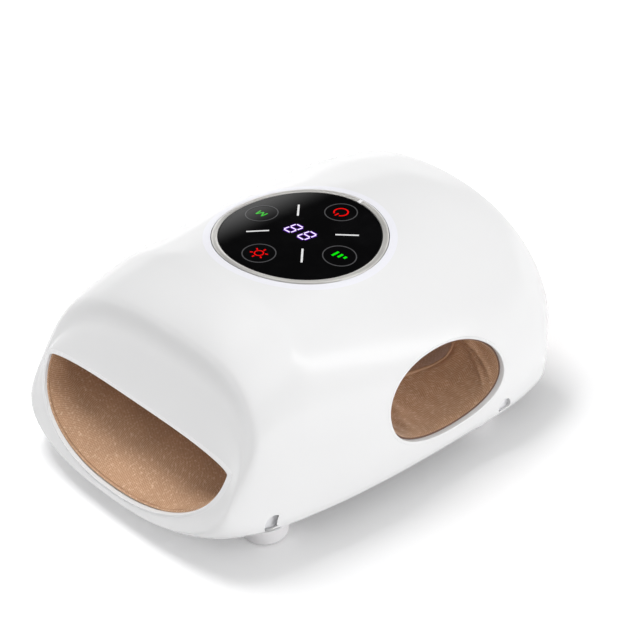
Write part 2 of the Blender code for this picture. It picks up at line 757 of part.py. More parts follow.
def add_screw(name, place, turn, extra=0.0):
    """A pan-head screw with its shank along its own +Z, its head below its origin."""
    profile = (
        (0.0, SCREW_LENGTH + extra - SCREW_SHANK_RADIUS),
        (SCREW_SHANK_RADIUS, SCREW_LENGTH + extra - 2 * SCREW_SHANK_RADIUS),
        (SCREW_SHANK_RADIUS, 0.0),
        (SCREW_HEAD_RADIUS, 0.0),
        (SCREW_HEAD_RADIUS, -SCREW_HEAD_HEIGHT * 0.5),
        (SCREW_HEAD_RADIUS * 0.7, -SCREW_HEAD_HEIGHT),
        (0.0, -SCREW_HEAD_HEIGHT),
    )
    turned_part(name, profile, "steel", place, turn, steps=10)


def make_side_screws():
    """Screws at the bottom of the side pockets, into the lower frame's arms."""
    for side, word in ((1, "right"), (-1, "left")):
        for y, spot in ((SIDE_FRONT_Y, "front"), (SIDE_REAR_Y, "rear")):
            place = (side * (pocket_end(y) + CLEARANCE), y, FOOT_HEIGHT + POCKET_HEIGHT)
            add_screw(f"side_screw_{spot}_{word}", place, (0, -side * math.pi / 2, 0))


def make_front_bezel():
    """Lip ring in the finger opening, standing a little proud of the shell."""
    seat = LIP_WALL + CLEARANCE
    loops = [
        station_loop(body_sizes(0.0, seat), BEZEL_DEPTH),
        station_loop(body_sizes(0.0, CLEARANCE), 0.0),
        station_loop(body_sizes(0.0, 2 * CLEARANCE), -BEZEL_PROUD),
        station_loop(body_sizes(0.0, seat), -BEZEL_PROUD),
        station_loop(body_sizes(0.0, seat + BEZEL_THICKNESS), 0.0),
        station_loop(body_sizes(0.0, seat + BEZEL_THICKNESS), BEZEL_DEPTH),
    ]
    add_part("front_bezel", mesh_from(loops, closed_tube=True), "white_gloss")


def make_rear_cover():
    """Cover plate round the wrist opening, with the charging inlet and its shelf."""
    edge = SHELL_WALL + CLEARANCE
    front, back = -COVER_RECESS, -COVER_RECESS - COVER_THICKNESS
    radius = COVER_EDGE_RADIUS
    wrist = list(tunnel_sizes(1.0))
    wrist[0], wrist[1] = body_sizes(1.0)[0], body_sizes(1.0)[1]

    def body_at(inset):
        return body_sizes(1.0, edge + inset)

    def wrist_at(grow):
        row = list(wrist)
        row[2] += grow
        row[3] += grow
        row[5] -= grow
        return row

    loops = [
        station_loop(body_at(0.0), back),
        station_loop(body_at(0.0), front - radius),
        station_loop(body_at(radius), front),
        station_loop(wrist_at(radius - COVER_LIP), front),
        station_loop(wrist_at(-COVER_LIP), front - radius),
        station_loop(wrist_at(-COVER_LIP), back),
    ]
    cover = add_part("rear_cover", mesh_from(loops, closed_tube=True), "white_satin")
    y = socket_face_y()
    shelf_top = SOCKET_Z - SOCKET_HEIGHT / 2 - 2 * CLEARANCE - BOARD_THICKNESS
    shelf_length = CHARGE_BOARD_LENGTH + COVER_THICKNESS
    shelf = box_mesh(
        (CHARGE_BOARD_WIDTH, shelf_length, SHELF_THICKNESS),
        (SOCKET_X, y - COVER_THICKNESS / 2 - shelf_length / 2, FOOT_HEIGHT + shelf_top - SHELF_THICKNESS / 2),
    )
    boolean(cover, add_cutter("charge_shelf", shelf), "UNION")
    inlet = box_mesh(
        (SOCKET_WIDTH + 2 * CLEARANCE, 4 * COVER_THICKNESS, SOCKET_HEIGHT + 2 * CLEARANCE),
        (SOCKET_X, y, FOOT_HEIGHT + SOCKET_Z),
    )
    boolean(cover, add_cutter("inlet_hole", inlet), "DIFFERENCE")


def socket_face_y():
    """Y of the rear cover's outer face at the charging inlet."""
    place, lean = body_sizes(1.0)[:2]
    return place + lean * SOCKET_Z - COVER_RECESS


def make_charging():
    """Charging socket and its small board on the shelf."""
    face = socket_face_y() - SOCKET_SETBACK
    socket = add_part(
        "charge_socket",
        box_mesh(
            (SOCKET_WIDTH, SOCKET_DEPTH, SOCKET_HEIGHT),
            (SOCKET_X, face - SOCKET_DEPTH / 2, FOOT_HEIGHT + SOCKET_Z),
        ),
        "steel",
    )
    wall = SOCKET_HEIGHT / 6
    mouth = box_mesh(
        (SOCKET_WIDTH - 2 * wall, SOCKET_DEPTH, SOCKET_HEIGHT - 2 * wall),
        (SOCKET_X, face - SOCKET_DEPTH / 2 + 2 * wall, FOOT_HEIGHT + SOCKET_Z),
    )
    boolean(socket, add_cutter("socket_mouth", mouth), "DIFFERENCE")
    level = SOCKET_Z - SOCKET_HEIGHT / 2 - CLEARANCE - BOARD_THICKNESS / 2
    end = socket_face_y() - COVER_THICKNESS - 4 * CLEARANCE
    add_part(
        "charge_board",
        box_mesh(
            (CHARGE_BOARD_WIDTH, CHARGE_BOARD_LENGTH, BOARD_THICKNESS),
            (SOCKET_X, end - CHARGE_BOARD_LENGTH / 2, FOOT_HEIGHT + level),
        ),
        "board_green",
    )


def make_thumb_rims():
    """Trim rings that line the thumb holes and follow the shell's skin."""
    skin = body_solid("thumb_rim_skin", -THUMB_RIM_PROUD)
    core = body_solid("thumb_rim_core", THUMB_RIM_DEPTH)
    for side, word in ((1, "right"), (-1, "left")):
        bar = oval_tube_mesh(
            side,
            TUNNEL_HALF_WIDTH,
            BODY_HALF_WIDTH + CUT_OVERRUN,
            CLEARANCE,
            THUMB_RIM_WALL,
        )
        rim = add_part(f"thumb_rim_{word}", bar, "white_gloss")
        boolean(rim, skin, "INTERSECT")
        boolean(rim, core, "DIFFERENCE")


def make_liner():
    """Fabric liner of the tunnel, with a sewn sleeve out to each thumb hole."""
    shares = tunnel_shares()
    outer = [station_loop(tunnel_sizes(share, LINER_THICKNESS)) for share in shares]
    inner = [station_loop(tunnel_sizes(share)) for share in reversed(shares)]
    liner = add_part("fabric_liner", mesh_from(outer + inner, closed_tube=True), "tan_knit")
    reach = body_solid("sleeve_reach", THUMB_RIM_DEPTH + CLEARANCE)
    inside = CLEARANCE + THUMB_RIM_WALL
    for side, word in ((1, "right"), (-1, "left")):
        bar = oval_mesh(side, TUNNEL_HALF_WIDTH - 2 * LINER_THICKNESS, BODY_HALF_WIDTH, inside)
        sleeve = add_cutter(f"sleeve_{word}", bar)
        boolean(sleeve, reach, "INTERSECT")
        boolean(liner, sleeve, "UNION")
    for side, word in ((1, "right"), (-1, "left")):
        way = oval_mesh(side, TUNNEL_HALF_WIDTH / 2, BODY_HALF_WIDTH + CUT_OVERRUN, inside + LINER_THICKNESS)
        boolean(liner, add_cutter(f"sleeve_way_{word}", way), "DIFFERENCE")
    for name, pad in pad_table().items():
        boolean(
            liner,
            pad_block(f"{name}_liner_window", pad, POCKET_PLAY, 2 * PAD_THICKNESS, -PAD_THICKNESS),
            "DIFFERENCE",
        )


def pad_table():
    """Half width, front, length and underside level of each press pad."""
    return {
        "finger": (TUNNEL_HALF_WIDTH - FINGER_PAD_SIDE, FINGER_PAD_FRONT_Y, FINGER_PAD_LENGTH, FINGER_PAD_Z),
        "palm": (TUNNEL_HALF_WIDTH - PALM_PAD_SIDE, PALM_PAD_FRONT_Y, PALM_PAD_LENGTH, PALM_PAD_Z),
    }


def pad_block(name, pad, grow, high, low=0.0):
    """A rounded block over a pad's footprint, from low to high above its underside."""
    half_width, front, length, level = pad
    size = (2 * (half_width + grow), length + 2 * grow, high - low)
    centre = (0, front + length / 2, FOOT_HEIGHT + level + (high + low) / 2)
    return add_cutter(name, rounded_box_mesh(size, centre, PAD_CORNER + grow))


def make_press_pads():
    """Press pads and the flat air bags over them."""
    for name, (half_width, front, length, level) in pad_table().items():
        middle = front + length / 2
        pad = rounded_box_mesh((2 * half_width, length, PAD_THICKNESS), (0, 0, PAD_THICKNESS / 2), PAD_CORNER)
        block = add_part(f"{name}_press_pad", pad, "tan_knit")
        block.location = (0, middle, FOOT_HEIGHT + level)
        bag_low = FOOT_HEIGHT + level + PAD_THICKNESS + CLEARANCE
        bag_mesh = rounded_box_mesh(
            (2 * half_width - 2 * POCKET_PLAY, length - 2 * POCKET_PLAY, BAG_THICKNESS),
            (0, middle, bag_low + BAG_THICKNESS / 2),
            PAD_CORNER,
        )
        add_part(f"{name}_airbag", bag_mesh, "bag_film")


def bag_inlet(name):
    """X and Y where a hose meets a bag."""
    half_width, front, length, _ = pad_table()[name]
    if name == "finger":
        return -half_width + PAD_CORNER, front + length / 2
    return half_width - 2 * PAD_CORNER, front + length - 2 * PAD_CORNER


def arc_section(sizes_inner, sizes_outer, angles):
    """A closed section between two outlines of one station."""
    outer = [station_point(sizes_outer, angle) for angle in angles]
    inner = [station_point(sizes_inner, angle) for angle in reversed(angles)]
    return outer + inner


def frame_mesh(angles, part_gap):
    """A wall that follows the liner from one station to another."""
    gap = LINER_THICKNESS + CLEARANCE
    loops = []
    for share in tunnel_shares()[FRAME_FIRST_RING:]:
        section = arc_section(tunnel_sizes(share, gap), tunnel_sizes(share, gap + FRAME_WALL), angles)
        split = tunnel_sizes(share)[4] + FOOT_HEIGHT
        for point in section:
            if part_gap > 0:
                point.z = max(point.z, split + part_gap)
            else:
                point.z = max(min(point.z, split + part_gap), FOOT_HEIGHT + trough_bottom())
        loops.append(section)
    return mesh_from(loops)


def make_upper_frame():
    """Arch over the tunnel, with a pocket for each bag and posts for the boards."""
    frame = add_part("upper_frame", frame_mesh(arch_angles(), CLEARANCE), "frame_grey")
    for name, pad in pad_table().items():
        housing = pad_block(
            f"{name}_housing",
            pad,
            POCKET_PLAY + POCKET_WALL,
            POCKET_ROOF + POCKET_WALL,
            HOUSING_FOOT,
        )
        boolean(frame, housing, "UNION")
    for name, pad in pad_table().items():
        boolean(
            frame,
            pad_block(f"{name}_pocket", pad, POCKET_PLAY, POCKET_ROOF, -3 * PAD_THICKNESS),
            "DIFFERENCE",
        )
        x, y = bag_inlet(name)
        hole = round_mesh(
            HOSE_HOLE_RADIUS,
            BODY_HEIGHT / 4,
            (x, y, FOOT_HEIGHT + pad[3] + POCKET_ROOF),
            "Z",
            12,
        )
        boolean(frame, add_cutter(f"{name}_hose_hole", hole), "DIFFERENCE")
    for number, (x, y) in enumerate(board_posts()):
        post = round_mesh(POST_RADIUS, 2 * POST_HEIGHT, (x, y, FOOT_HEIGHT + PALM_ROOF_TOP), "Z", 10)
        boolean(frame, add_cutter(f"board_post_{number}", post), "UNION")
    cut_thumb_ways(frame, "upper_frame")


def board_posts():
    """Places of the posts under the main board."""
    half_x, half_y = MAIN_BOARD_WIDTH / 2 - 2 * POST_RADIUS, MAIN_BOARD_LENGTH / 2 - 2 * POST_RADIUS
    return [(sx * half_x, MAIN_BOARD_Y + sy * half_y) for sx in (-1, 1) for sy in (-1, 1)]


def cut_thumb_ways(frame, word):
    """Clear the way for the thumb sleeves through a frame's side walls."""
    for side, hand in ((1, "right"), (-1, "left")):
        way = oval_mesh(side, TUNNEL_HALF_WIDTH / 2, BODY_HALF_WIDTH, THUMB_RIM_WALL)
        boolean(frame, add_cutter(f"{word}_thumb_way_{hand}", way), "DIFFERENCE")


def trough_bottom():
    """Level of the lower frame's own floor plate, just over the base."""
    return BASE_THICKNESS + CLEARANCE


def make_lower_frame():
    """Trough under the tunnel, with the node plate's bed, arms for the side screws and bosses."""
    down = [math.pi + math.pi / 2 * share for share in (0.0, *FLOOR_TURN_SHARES)]
    back = [2 * math.pi - math.pi / 2 * share for share in reversed((0.0, *FLOOR_TURN_SHARES[:-1]))]
    frame = add_part("lower_frame", frame_mesh(down + back, -CLEARANCE), "frame_grey")
    low = trough_bottom()
    bed_top = TUNNEL_FLOOR - LINER_THICKNESS - 2 * CLEARANCE
    bed = box_mesh(
        (2 * NODE_PLATE_HALF_WIDTH + 2 * POCKET_WALL, NODE_PLATE_LENGTH + 2 * POCKET_WALL, bed_top - low),
        (0, NODE_PLATE_Y, FOOT_HEIGHT + (bed_top + low) / 2),
    )
    boolean(frame, add_cutter("node_bed", bed), "UNION")
    for side, word in ((1, "right"), (-1, "left")):
        for y, spot in ((SIDE_FRONT_Y, "front"), (SIDE_REAR_Y, "rear")):
            end = pocket_end(y) - BOSS_WALL - 3 * CLEARANCE
            arm = box_mesh(
                (end, 2 * RAIL_WIDTH, RAIL_WIDTH),
                (side * end / 2, y, FOOT_HEIGHT + low + RAIL_WIDTH / 2),
            )
            boolean(frame, add_cutter(f"side_arm_{spot}_{word}", arm), "UNION")
    rail = box_mesh(
        (2 * RAIL_WIDTH, SIDE_REAR_Y - SIDE_FRONT_Y, RAIL_WIDTH),
        (0, (SIDE_REAR_Y + SIDE_FRONT_Y) / 2, FOOT_HEIGHT + low + RAIL_WIDTH / 2),
    )
    boolean(frame, add_cutter("keel", rail), "UNION")
    for name, x, y in foot_places():
        top = TUNNEL_FLOOR
        boss = round_mesh(
            2 * SCREW_SHANK_RADIUS + BOSS_WALL,
            top - low,
            (x, y, FOOT_HEIGHT + (top + low) / 2),
            "Z",
            14,
        )
        boolean(frame, add_cutter(f"foot_boss_{name}", boss), "UNION")
    bed_floor = low + FRAME_WALL * 0.7
    hollow = box_mesh(
        (2 * NODE_PLATE_HALF_WIDTH, NODE_PLATE_LENGTH, TUNNEL_FLOOR),
        (0, NODE_PLATE_Y, FOOT_HEIGHT + bed_floor + TUNNEL_FLOOR / 2),
    )
    boolean(frame, add_cutter("node_hollow", hollow), "DIFFERENCE")
    for side, word in ((1, "right"), (-1, "left")):
        for y, spot in ((SIDE_FRONT_Y, "front"), (SIDE_REAR_Y, "rear")):
            drill = round_mesh(
                SCREW_SHANK_RADIUS + CLEARANCE,
                2 * SCREW_LENGTH + 2 * CUT_OVERRUN,
                (side * (pocket_end(y) + CLEARANCE), y, FOOT_HEIGHT + POCKET_HEIGHT),
                "X",
                10,
            )
            boolean(frame, add_cutter(f"arm_drill_{spot}_{word}", drill), "DIFFERENCE")
    for name, x, y in foot_places():
        drill = round_mesh(SCREW_SHANK_RADIUS + CLEARANCE, 4 * TUNNEL_FLOOR, (x, y, FOOT_HEIGHT), "Z", 10)
        boolean(frame, add_cutter(f"boss_drill_{name}", drill), "DIFFERENCE")
    boolean(frame, body_solid("lower_frame_room", SHELL_WALL + 2 * CLEARANCE), "INTERSECT")
    cut_thumb_ways(frame, "lower_frame")


def make_node_plate():
    """Massage node plate under the palm, and the heating film over it."""
    low = trough_bottom() + FRAME_WALL * 0.7 + CLEARANCE
    plate = add_part(
        "massage_node_plate",
        box_mesh(
            (
                2 * NODE_PLATE_HALF_WIDTH - 2 * CLEARANCE,
                NODE_PLATE_LENGTH - 2 * CLEARANCE,
                NODE_PLATE_THICKNESS,
            ),
            (0, NODE_PLATE_Y, FOOT_HEIGHT + low + NODE_PLATE_THICKNESS / 2),
        ),
        "white_satin",
    )
    for row in range(NODE_ROWS):
        for column in range(NODE_COLUMNS):
            x = (column - (NODE_COLUMNS - 1) / 2) * NODE_PITCH_X
            y = NODE_PLATE_Y + (row - (NODE_ROWS - 1) / 2) * NODE_PITCH_Y
            shape = bmesh.new()
            bmesh.ops.create_cone(
                shape,
                cap_ends=True,
                segments=8,
                radius1=NODE_RADIUS,
                radius2=NODE_RADIUS / 2,
                depth=NODE_HEIGHT + NODE_PLATE_THICKNESS / 2,
            )
            mesh = bpy.data.meshes.new("node")
            shape.to_mesh(mesh)
            shape.free()
            dome = add_cutter(f"node_{row}_{column}", mesh)
            top = low + NODE_PLATE_THICKNESS + NODE_HEIGHT
            dome.location = (x, y, FOOT_HEIGHT + top - (NODE_HEIGHT + NODE_PLATE_THICKNESS / 2) / 2)
            boolean(plate, dome, "UNION")
    film_low = low + NODE_PLATE_THICKNESS + NODE_HEIGHT + CLEARANCE
    add_part(
        "heating_film",
        box_mesh(
            (2 * NODE_PLATE_HALF_WIDTH - 4 * CLEARANCE, NODE_PLATE_LENGTH - 4 * CLEARANCE, FILM_THICKNESS),
            (0, NODE_PLATE_Y, FOOT_HEIGHT + film_low + FILM_THICKNESS / 2),
        ),
        "heat_film",
    )


def body_crown(y):
    """Height of the body's crown over a place along Y."""
    nearest = min(shares_between(0.0, 1.0, 400), key=lambda share: abs(crown_y(share) - y))
    return body_sizes(nearest)[3]


def crown_y(share):
    """Y at which a body station meets its crown."""
    place, lean, _, crown = body_sizes(share)[:4]
    return place + lean * crown


def panel_frame():
    """Centre and axes of the touch panel, seated on the body's crown."""
    front = body_crown(PANEL_Y - RING_RADIUS)
    rear = body_crown(PANEL_Y + RING_RADIUS) - PANEL_REAR_SINK
    tilt = math.atan2(front - rear, 2 * RING_RADIUS)
    centre = Vector((0, PANEL_Y, FOOT_HEIGHT + (front + rear) / 2))
    along = Vector((0, math.cos(tilt), -math.sin(tilt)))
    out = Vector((0, math.sin(tilt), math.cos(tilt)))
    return centre, along, out


def panel_point(x, y, depth, crowned=True):
    """A point on the panel's crowned face, at a depth below it, or below the flat plane that touches it."""
    centre, along, out = panel_frame()
    crown = x * x / (2 * PANEL_CROWN_RADIUS) if crowned else 0.0
    return centre + Vector((x, 0, 0)) + along * y - out * (crown + depth)


def panel_loop(radius, depth, crowned=True, turns=40, shift=0.0):
    """A circle on the panel; shift turns its corners by a share of one step."""
    loop = []
    for step in range(turns):
        angle = 2 * math.pi * (step + shift) / turns
        loop.append(panel_point(radius * math.cos(angle), radius * math.sin(angle), depth, crowned))
    return loop


def panel_stack_mesh(steps):
    """A disc-like solid through circles of given radius and depth."""
    return mesh_from([panel_loop(radius, depth) for radius, depth in steps])


def make_panel():
    """Chrome ring, black glass and the tray that carries them."""
    ring_inner = RING_RADIUS - RING_WIDTH
    gap_angle = RING_GAP / RING_RADIUS
    loops = []
    for step in range(41):
        angle = math.pi / 2 + gap_angle / 2 + (2 * math.pi - gap_angle) * step / 40
        loop = []
        for radius, depth in (
            (RING_RADIUS, GLASS_THICKNESS),
            (RING_RADIUS, -RING_PROUD * 0.3),
            (RING_RADIUS - RING_WIDTH * 0.3, -RING_PROUD),
            (RING_RADIUS - RING_WIDTH * 0.75, -RING_PROUD * 0.8),
            (ring_inner, 0.0),
            (ring_inner, GLASS_THICKNESS),
        ):
            loop.append(panel_point(radius * math.cos(angle), radius * math.sin(angle), depth))
        loops.append(loop)
    add_part("chrome_ring", mesh_from(loops), "chrome")
    glass_radius = ring_inner - CLEARANCE
    glass = [
        (glass_radius / 3, GLASS_THICKNESS),
        (glass_radius * 2 / 3, GLASS_THICKNESS),
        (glass_radius, GLASS_THICKNESS),
        (glass_radius, 0.0),
        (glass_radius * 2 / 3, 0.0),
        (glass_radius / 3, 0.0),
    ]
    add_part("panel_glass", panel_stack_mesh(glass), "black_glass")
    top = GLASS_THICKNESS + 1.5 * CLEARANCE
    ledge = glass_radius - TRAY_LEDGE
    tray = [
        panel_loop(ledge, top),
        panel_loop(RING_RADIUS - CLEARANCE, top),
        panel_loop(RING_RADIUS - CLEARANCE, TRAY_DEPTH, crowned=False),
        panel_loop(ledge, TRAY_DEPTH, crowned=False),
    ]
    add_part("panel_tray", mesh_from(tray, closed_tube=True), "frame_grey")


def on_panel(made, x, y, depth):
    """Stand an object on the panel's axes at a depth below its flat tangent."""
    centre, along, out = panel_frame()
    made.rotation_euler = (math.atan2(along.z, along.y), 0, 0)
    made.location = centre + Vector((x, 0, 0)) + along * y - out * depth


def make_touch_board():
    """Touch board with the digit display and a spring under each key."""
    depth = TRAY_DEPTH + CLEARANCE
    board = add_part(
        "touch_board",
        round_mesh(
            RING_RADIUS - RING_WIDTH,
            BOARD_THICKNESS,
            (0, 0, -BOARD_THICKNESS / 2),
            "Z",
            32,
        ),
        "board_green",
    )
    on_panel(board, 0, 0, depth)
    room = depth - GLASS_THICKNESS - 2 * CLEARANCE
    sag = DISPLAY_LENGTH**2 / (8 * PANEL_CROWN_RADIUS)
    tall = room - sag
    display = add_part(
        "display_module",
        box_mesh((DISPLAY_LENGTH, DISPLAY_WIDTH, tall), (0, 0, tall / 2 + CLEARANCE)),
        "chip_black",
    )
    on_panel(display, 0, 0, depth)
    for number, (x, y) in enumerate(((-1, 0), (0, -1), (0, 1), (1, 0))):
        sag = (x * KEY_RADIUS + KEY_SPRING_RADIUS) ** 2 / (2 * PANEL_CROWN_RADIUS) if x else 0.0
        height = room - sag - 2 * KEY_WIRE_RADIUS - CLEARANCE / 2
        spring = coil(
            f"touch_spring_{number + 1}",
            KEY_SPRING_RADIUS,
            KEY_WIRE_RADIUS,
            height,
            KEY_SPRING_TURNS,
        )
        on_panel(spring, x * KEY_RADIUS, y * KEY_RADIUS, depth - CLEARANCE - KEY_WIRE_RADIUS)


def coil(name, radius, wire, height, turns):
    """A wire spring standing on its own origin."""
    data = bpy.data.curves.new(name, "CURVE")
    data.dimensions = "3D"
    data.bevel_depth = wire
    data.bevel_resolution = 0
    data.use_fill_caps = True
    line = data.splines.new("POLY")
    count = turns * 8 + 1
    line.points.add(count - 1)
    for step in range(count):
        angle = 2 * math.pi * step / 8
        line.points[step].co = (
            radius * math.cos(angle),
            radius * math.sin(angle),
            height * step / (count - 1),
            1,
        )
    made = bpy.data.objects.new(name, data)
    parts.objects.link(made)
    data.materials.append(materials["steel"])
    return made


def make_main_board():
    """Main board on its posts, with its chip and buzzer."""
    low = PALM_ROOF_TOP + POST_HEIGHT + CLEARANCE
    add_part(
        "main_board",
        box_mesh(
            (MAIN_BOARD_WIDTH, MAIN_BOARD_LENGTH, BOARD_THICKNESS),
            (0, MAIN_BOARD_Y, FOOT_HEIGHT + low + BOARD_THICKNESS / 2),
        ),
        "board_green",
    )
    top = FOOT_HEIGHT + low + BOARD_THICKNESS + CLEARANCE
    add_part(
        "control_chip",
        box_mesh((CHIP_SIZE, CHIP_SIZE, CHIP_HEIGHT), (0, MAIN_BOARD_Y, top + CHIP_HEIGHT / 2)),
        "chip_black",
    )
    quarter = MAIN_BOARD_WIDTH / 4
    buzzer = round_mesh(
        BUZZER_RADIUS,
        BUZZER_HEIGHT,
        (quarter, MAIN_BOARD_Y, top + BUZZER_HEIGHT / 2),
        "Z",
        14,
    )
    add_part("buzzer", buzzer, "chip_black")


def holder_half_width():
    """Half the battery holder's width along Y."""
    return CELL_RADIUS + HOLDER_WALL + CLEARANCE


def cell_y():
    """Y of the battery cell, over the rear of the finger pocket."""
    return FINGER_PAD_REAR_Y + POCKET_PLAY + POCKET_WALL - holder_half_width()


def make_battery():
    """Battery cell in its holder on the finger pocket's roof."""
    low = FINGER_ROOF_TOP + CLEARANCE + HOLDER_WALL
    centre_z = FOOT_HEIGHT + low + CLEARANCE + CELL_RADIUS
    half = CELL_LENGTH / 2
    tip = CELL_RADIUS / 3
    profile = (
        (0.0, half + CELL_RADIUS / 8),
        (tip, half + CELL_RADIUS / 8),
        (tip, half),
        (CELL_RADIUS * 0.95, half),
        (CELL_RADIUS, half - CELL_RADIUS * 0.05),
        (CELL_RADIUS, -half),
        (0.0, -half),
    )
    turned_part("battery_cell", profile, "cell_blue", (0, cell_y(), centre_z), (0, math.pi / 2, 0), steps=20)
    length = CELL_LENGTH + CELL_RADIUS / 4 + 2 * HOLDER_WALL + 4 * CLEARANCE
    height = CELL_RADIUS + HOLDER_WALL
    width = 2 * holder_half_width()
    holder = add_part(
        "battery_holder",
        box_mesh(
            (length, width, height),
            (0, cell_y(), FOOT_HEIGHT + FINGER_ROOF_TOP + CLEARANCE + height / 2),
        ),
        "chip_black",
    )
    room = round_mesh(CELL_RADIUS + CLEARANCE, length - 2 * HOLDER_WALL, (0, cell_y(), centre_z), "X", 20)
    boolean(holder, add_cutter("cell_room", room), "DIFFERENCE")


def valve_places():
    """X of each valve by the bag it serves."""
    return {"finger": -VALVE_X, "palm": VALVE_X}


def make_valves():
    """Solenoid valves on the roof: body, plunger and spring."""
    low = PALM_ROOF_TOP + CLEARANCE
    for name, x in valve_places().items():
        body = add_part(
            f"{name}_valve_body",
            box_mesh(
                (VALVE_WIDTH, VALVE_WIDTH, VALVE_HEIGHT),
                (x, VALVE_Y, FOOT_HEIGHT + low + VALVE_HEIGHT / 2),
            ),
            "steel",
        )
        bore_top = low + VALVE_HEIGHT - VALVE_ROOF
        bore = round_mesh(
            VALVE_BORE_RADIUS,
            bore_top - low + CUT_OVERRUN,
            (x, VALVE_Y, FOOT_HEIGHT + (bore_top + low - CUT_OVERRUN) / 2),
            "Z",
            16,
        )
        boolean(body, add_cutter(f"{name}_valve_bore", bore), "DIFFERENCE")
        plunger = add_part(
            f"{name}_valve_plunger",
            round_mesh(PLUNGER_RADIUS, PLUNGER_LENGTH, (0, 0, 0), "Z", 16),
            "steel",
        )
        plunger.location = (x, VALVE_Y, FOOT_HEIGHT + bore_top - CLEARANCE - PLUNGER_LENGTH / 2)
        bottom = low
        wire = KEY_WIRE_RADIUS
        room = bore_top - CLEARANCE - PLUNGER_LENGTH - bottom - 2 * wire - CLEARANCE
        spring = coil(f"{name}_valve_spring", VALVE_SPRING_RADIUS, wire, room, KEY_SPRING_TURNS)
        spring.location = (x, VALVE_Y, FOOT_HEIGHT + bottom + wire)


def make_manifold():
    """Air manifold between the valves."""
    low = PALM_ROOF_TOP + CLEARANCE
    length = 2 * (VALVE_X - VALVE_WIDTH / 2 - CLEARANCE)
    add_part(
        "air_manifold",
        box_mesh(
            (length, MANIFOLD_WIDTH, MANIFOLD_HEIGHT),
            (0, VALVE_Y, FOOT_HEIGHT + low + MANIFOLD_HEIGHT / 2),
        ),
        "white_satin",
    )


def hose(name, points):
    """A soft air hose."""
    tube(name, points, HOSE_RADIUS, "hose_clear")


def tube(name, points, radius, material):
    """A round soft run along a smooth line through its points."""
    line = [Vector(points[0]), *smooth_line([Vector(point) for point in points[1:-1]], 3), Vector(points[-1])]
    data = bpy.data.curves.new(name, "CURVE")
    data.dimensions = "3D"
    data.bevel_depth = radius
    data.bevel_resolution = 2
    data.use_fill_caps = True
    run = data.splines.new("POLY")
    run.points.add(len(line) - 1)
    for place, point in zip(run.points, line):
        place.co = (*point, 1)
    made = bpy.data.objects.new(name, data)
    parts.objects.link(made)
    data.materials.append(materials[material])


def smooth_line(points, steps):
    """Points of a smooth line through the given ones."""
    line = [points[0]]
    for at in range(len(points) - 1):
        before = points[max(at - 1, 0)]
        start, end = points[at], points[at + 1]
        after = points[min(at + 2, len(points) - 1)]
        for step in range(1, steps + 1):
            part = step / steps
            line.append(
                0.5
                * (
                    2 * start
                    + (end - before) * part
                    + (2 * before - 5 * start + 4 * end - after) * part**2
                    + (3 * start - before - 3 * end + after) * part**3
                )
            )
    return line


def make_pump():
    """Air pump in the rear right side: motor, rotor with its cam, head and rubber saddle."""
    z = FOOT_HEIGHT + PUMP_Z
    motor = add_part(
        "pump_motor", round_mesh(
            MOTOR_RADIUS,
            MOTOR_LENGTH,
            (PUMP_X, PUMP_FRONT_Y + MOTOR_LENGTH / 2, z),
            "Y",
            24,
        ), "steel"
    )
    motor_end = PUMP_FRONT_Y + MOTOR_LENGTH
    bore = round_mesh(SHAFT_BORE_RADIUS, 2 * SHAFT_BORE_DEPTH, (PUMP_X, motor_end, z), "Y", 16)
    boolean(motor, add_cutter("shaft_bore", bore), "DIFFERENCE")
    shaft_start = motor_end - SHAFT_BORE_DEPTH + CLEARANCE
    rotor = add_part(
        "pump_rotor",
        round_mesh(
            SHAFT_RADIUS,
            SHAFT_LENGTH,
            (0, shaft_start + SHAFT_LENGTH / 2 - motor_end, 0),
            "Y",
            16,
        ),
        "steel",
    )
    rotor.location = (PUMP_X, motor_end, z)
    cam_middle = motor_end + 2 * CLEARANCE + HEAD_WALL + CAM_THICKNESS / 2
    cam = round_mesh(CAM_RADIUS, CAM_THICKNESS, (PUMP_X, cam_middle, z + CAM_OFFSET), "Y", 16)
    boolean(rotor, add_cutter("cam", cam), "UNION")
    head_start = motor_end + CLEARANCE
    head = add_part(
        "pump_head",
        box_mesh(
            (HEAD_WIDTH, HEAD_LENGTH, HEAD_HEIGHT),
            (PUMP_X - HEAD_WALL, head_start + HEAD_LENGTH / 2, z),
        ),
        "chip_black",
    )
    room_length = HEAD_LENGTH - HEAD_WALL
    room = round_mesh(
        CAM_RADIUS + CAM_OFFSET + 2 * CLEARANCE, room_length + CUT_OVERRUN, (
            PUMP_X,
            head_start + (room_length - CUT_OVERRUN) / 2,
            z,
        ), "Y", 20
    )
    boolean(head, add_cutter("cam_room", room), "DIFFERENCE")
    saddle_low = FOOT_HEIGHT + BASE_THICKNESS + 2 * CLEARANCE
    saddle = add_part(
        "pump_saddle",
        box_mesh(
            (SADDLE_WIDTH, SADDLE_LENGTH, SADDLE_HEIGHT),
            (PUMP_X, PUMP_FRONT_Y + MOTOR_LENGTH / 2, saddle_low + SADDLE_HEIGHT / 2),
        ),
        "rubber_black",
    )
    seat = round_mesh(
        MOTOR_RADIUS + CLEARANCE,
        2 * SADDLE_LENGTH,
        (PUMP_X, PUMP_FRONT_Y + MOTOR_LENGTH / 2, z),
        "Y",
        24,
    )
    boolean(saddle, add_cutter("motor_seat", seat), "DIFFERENCE")


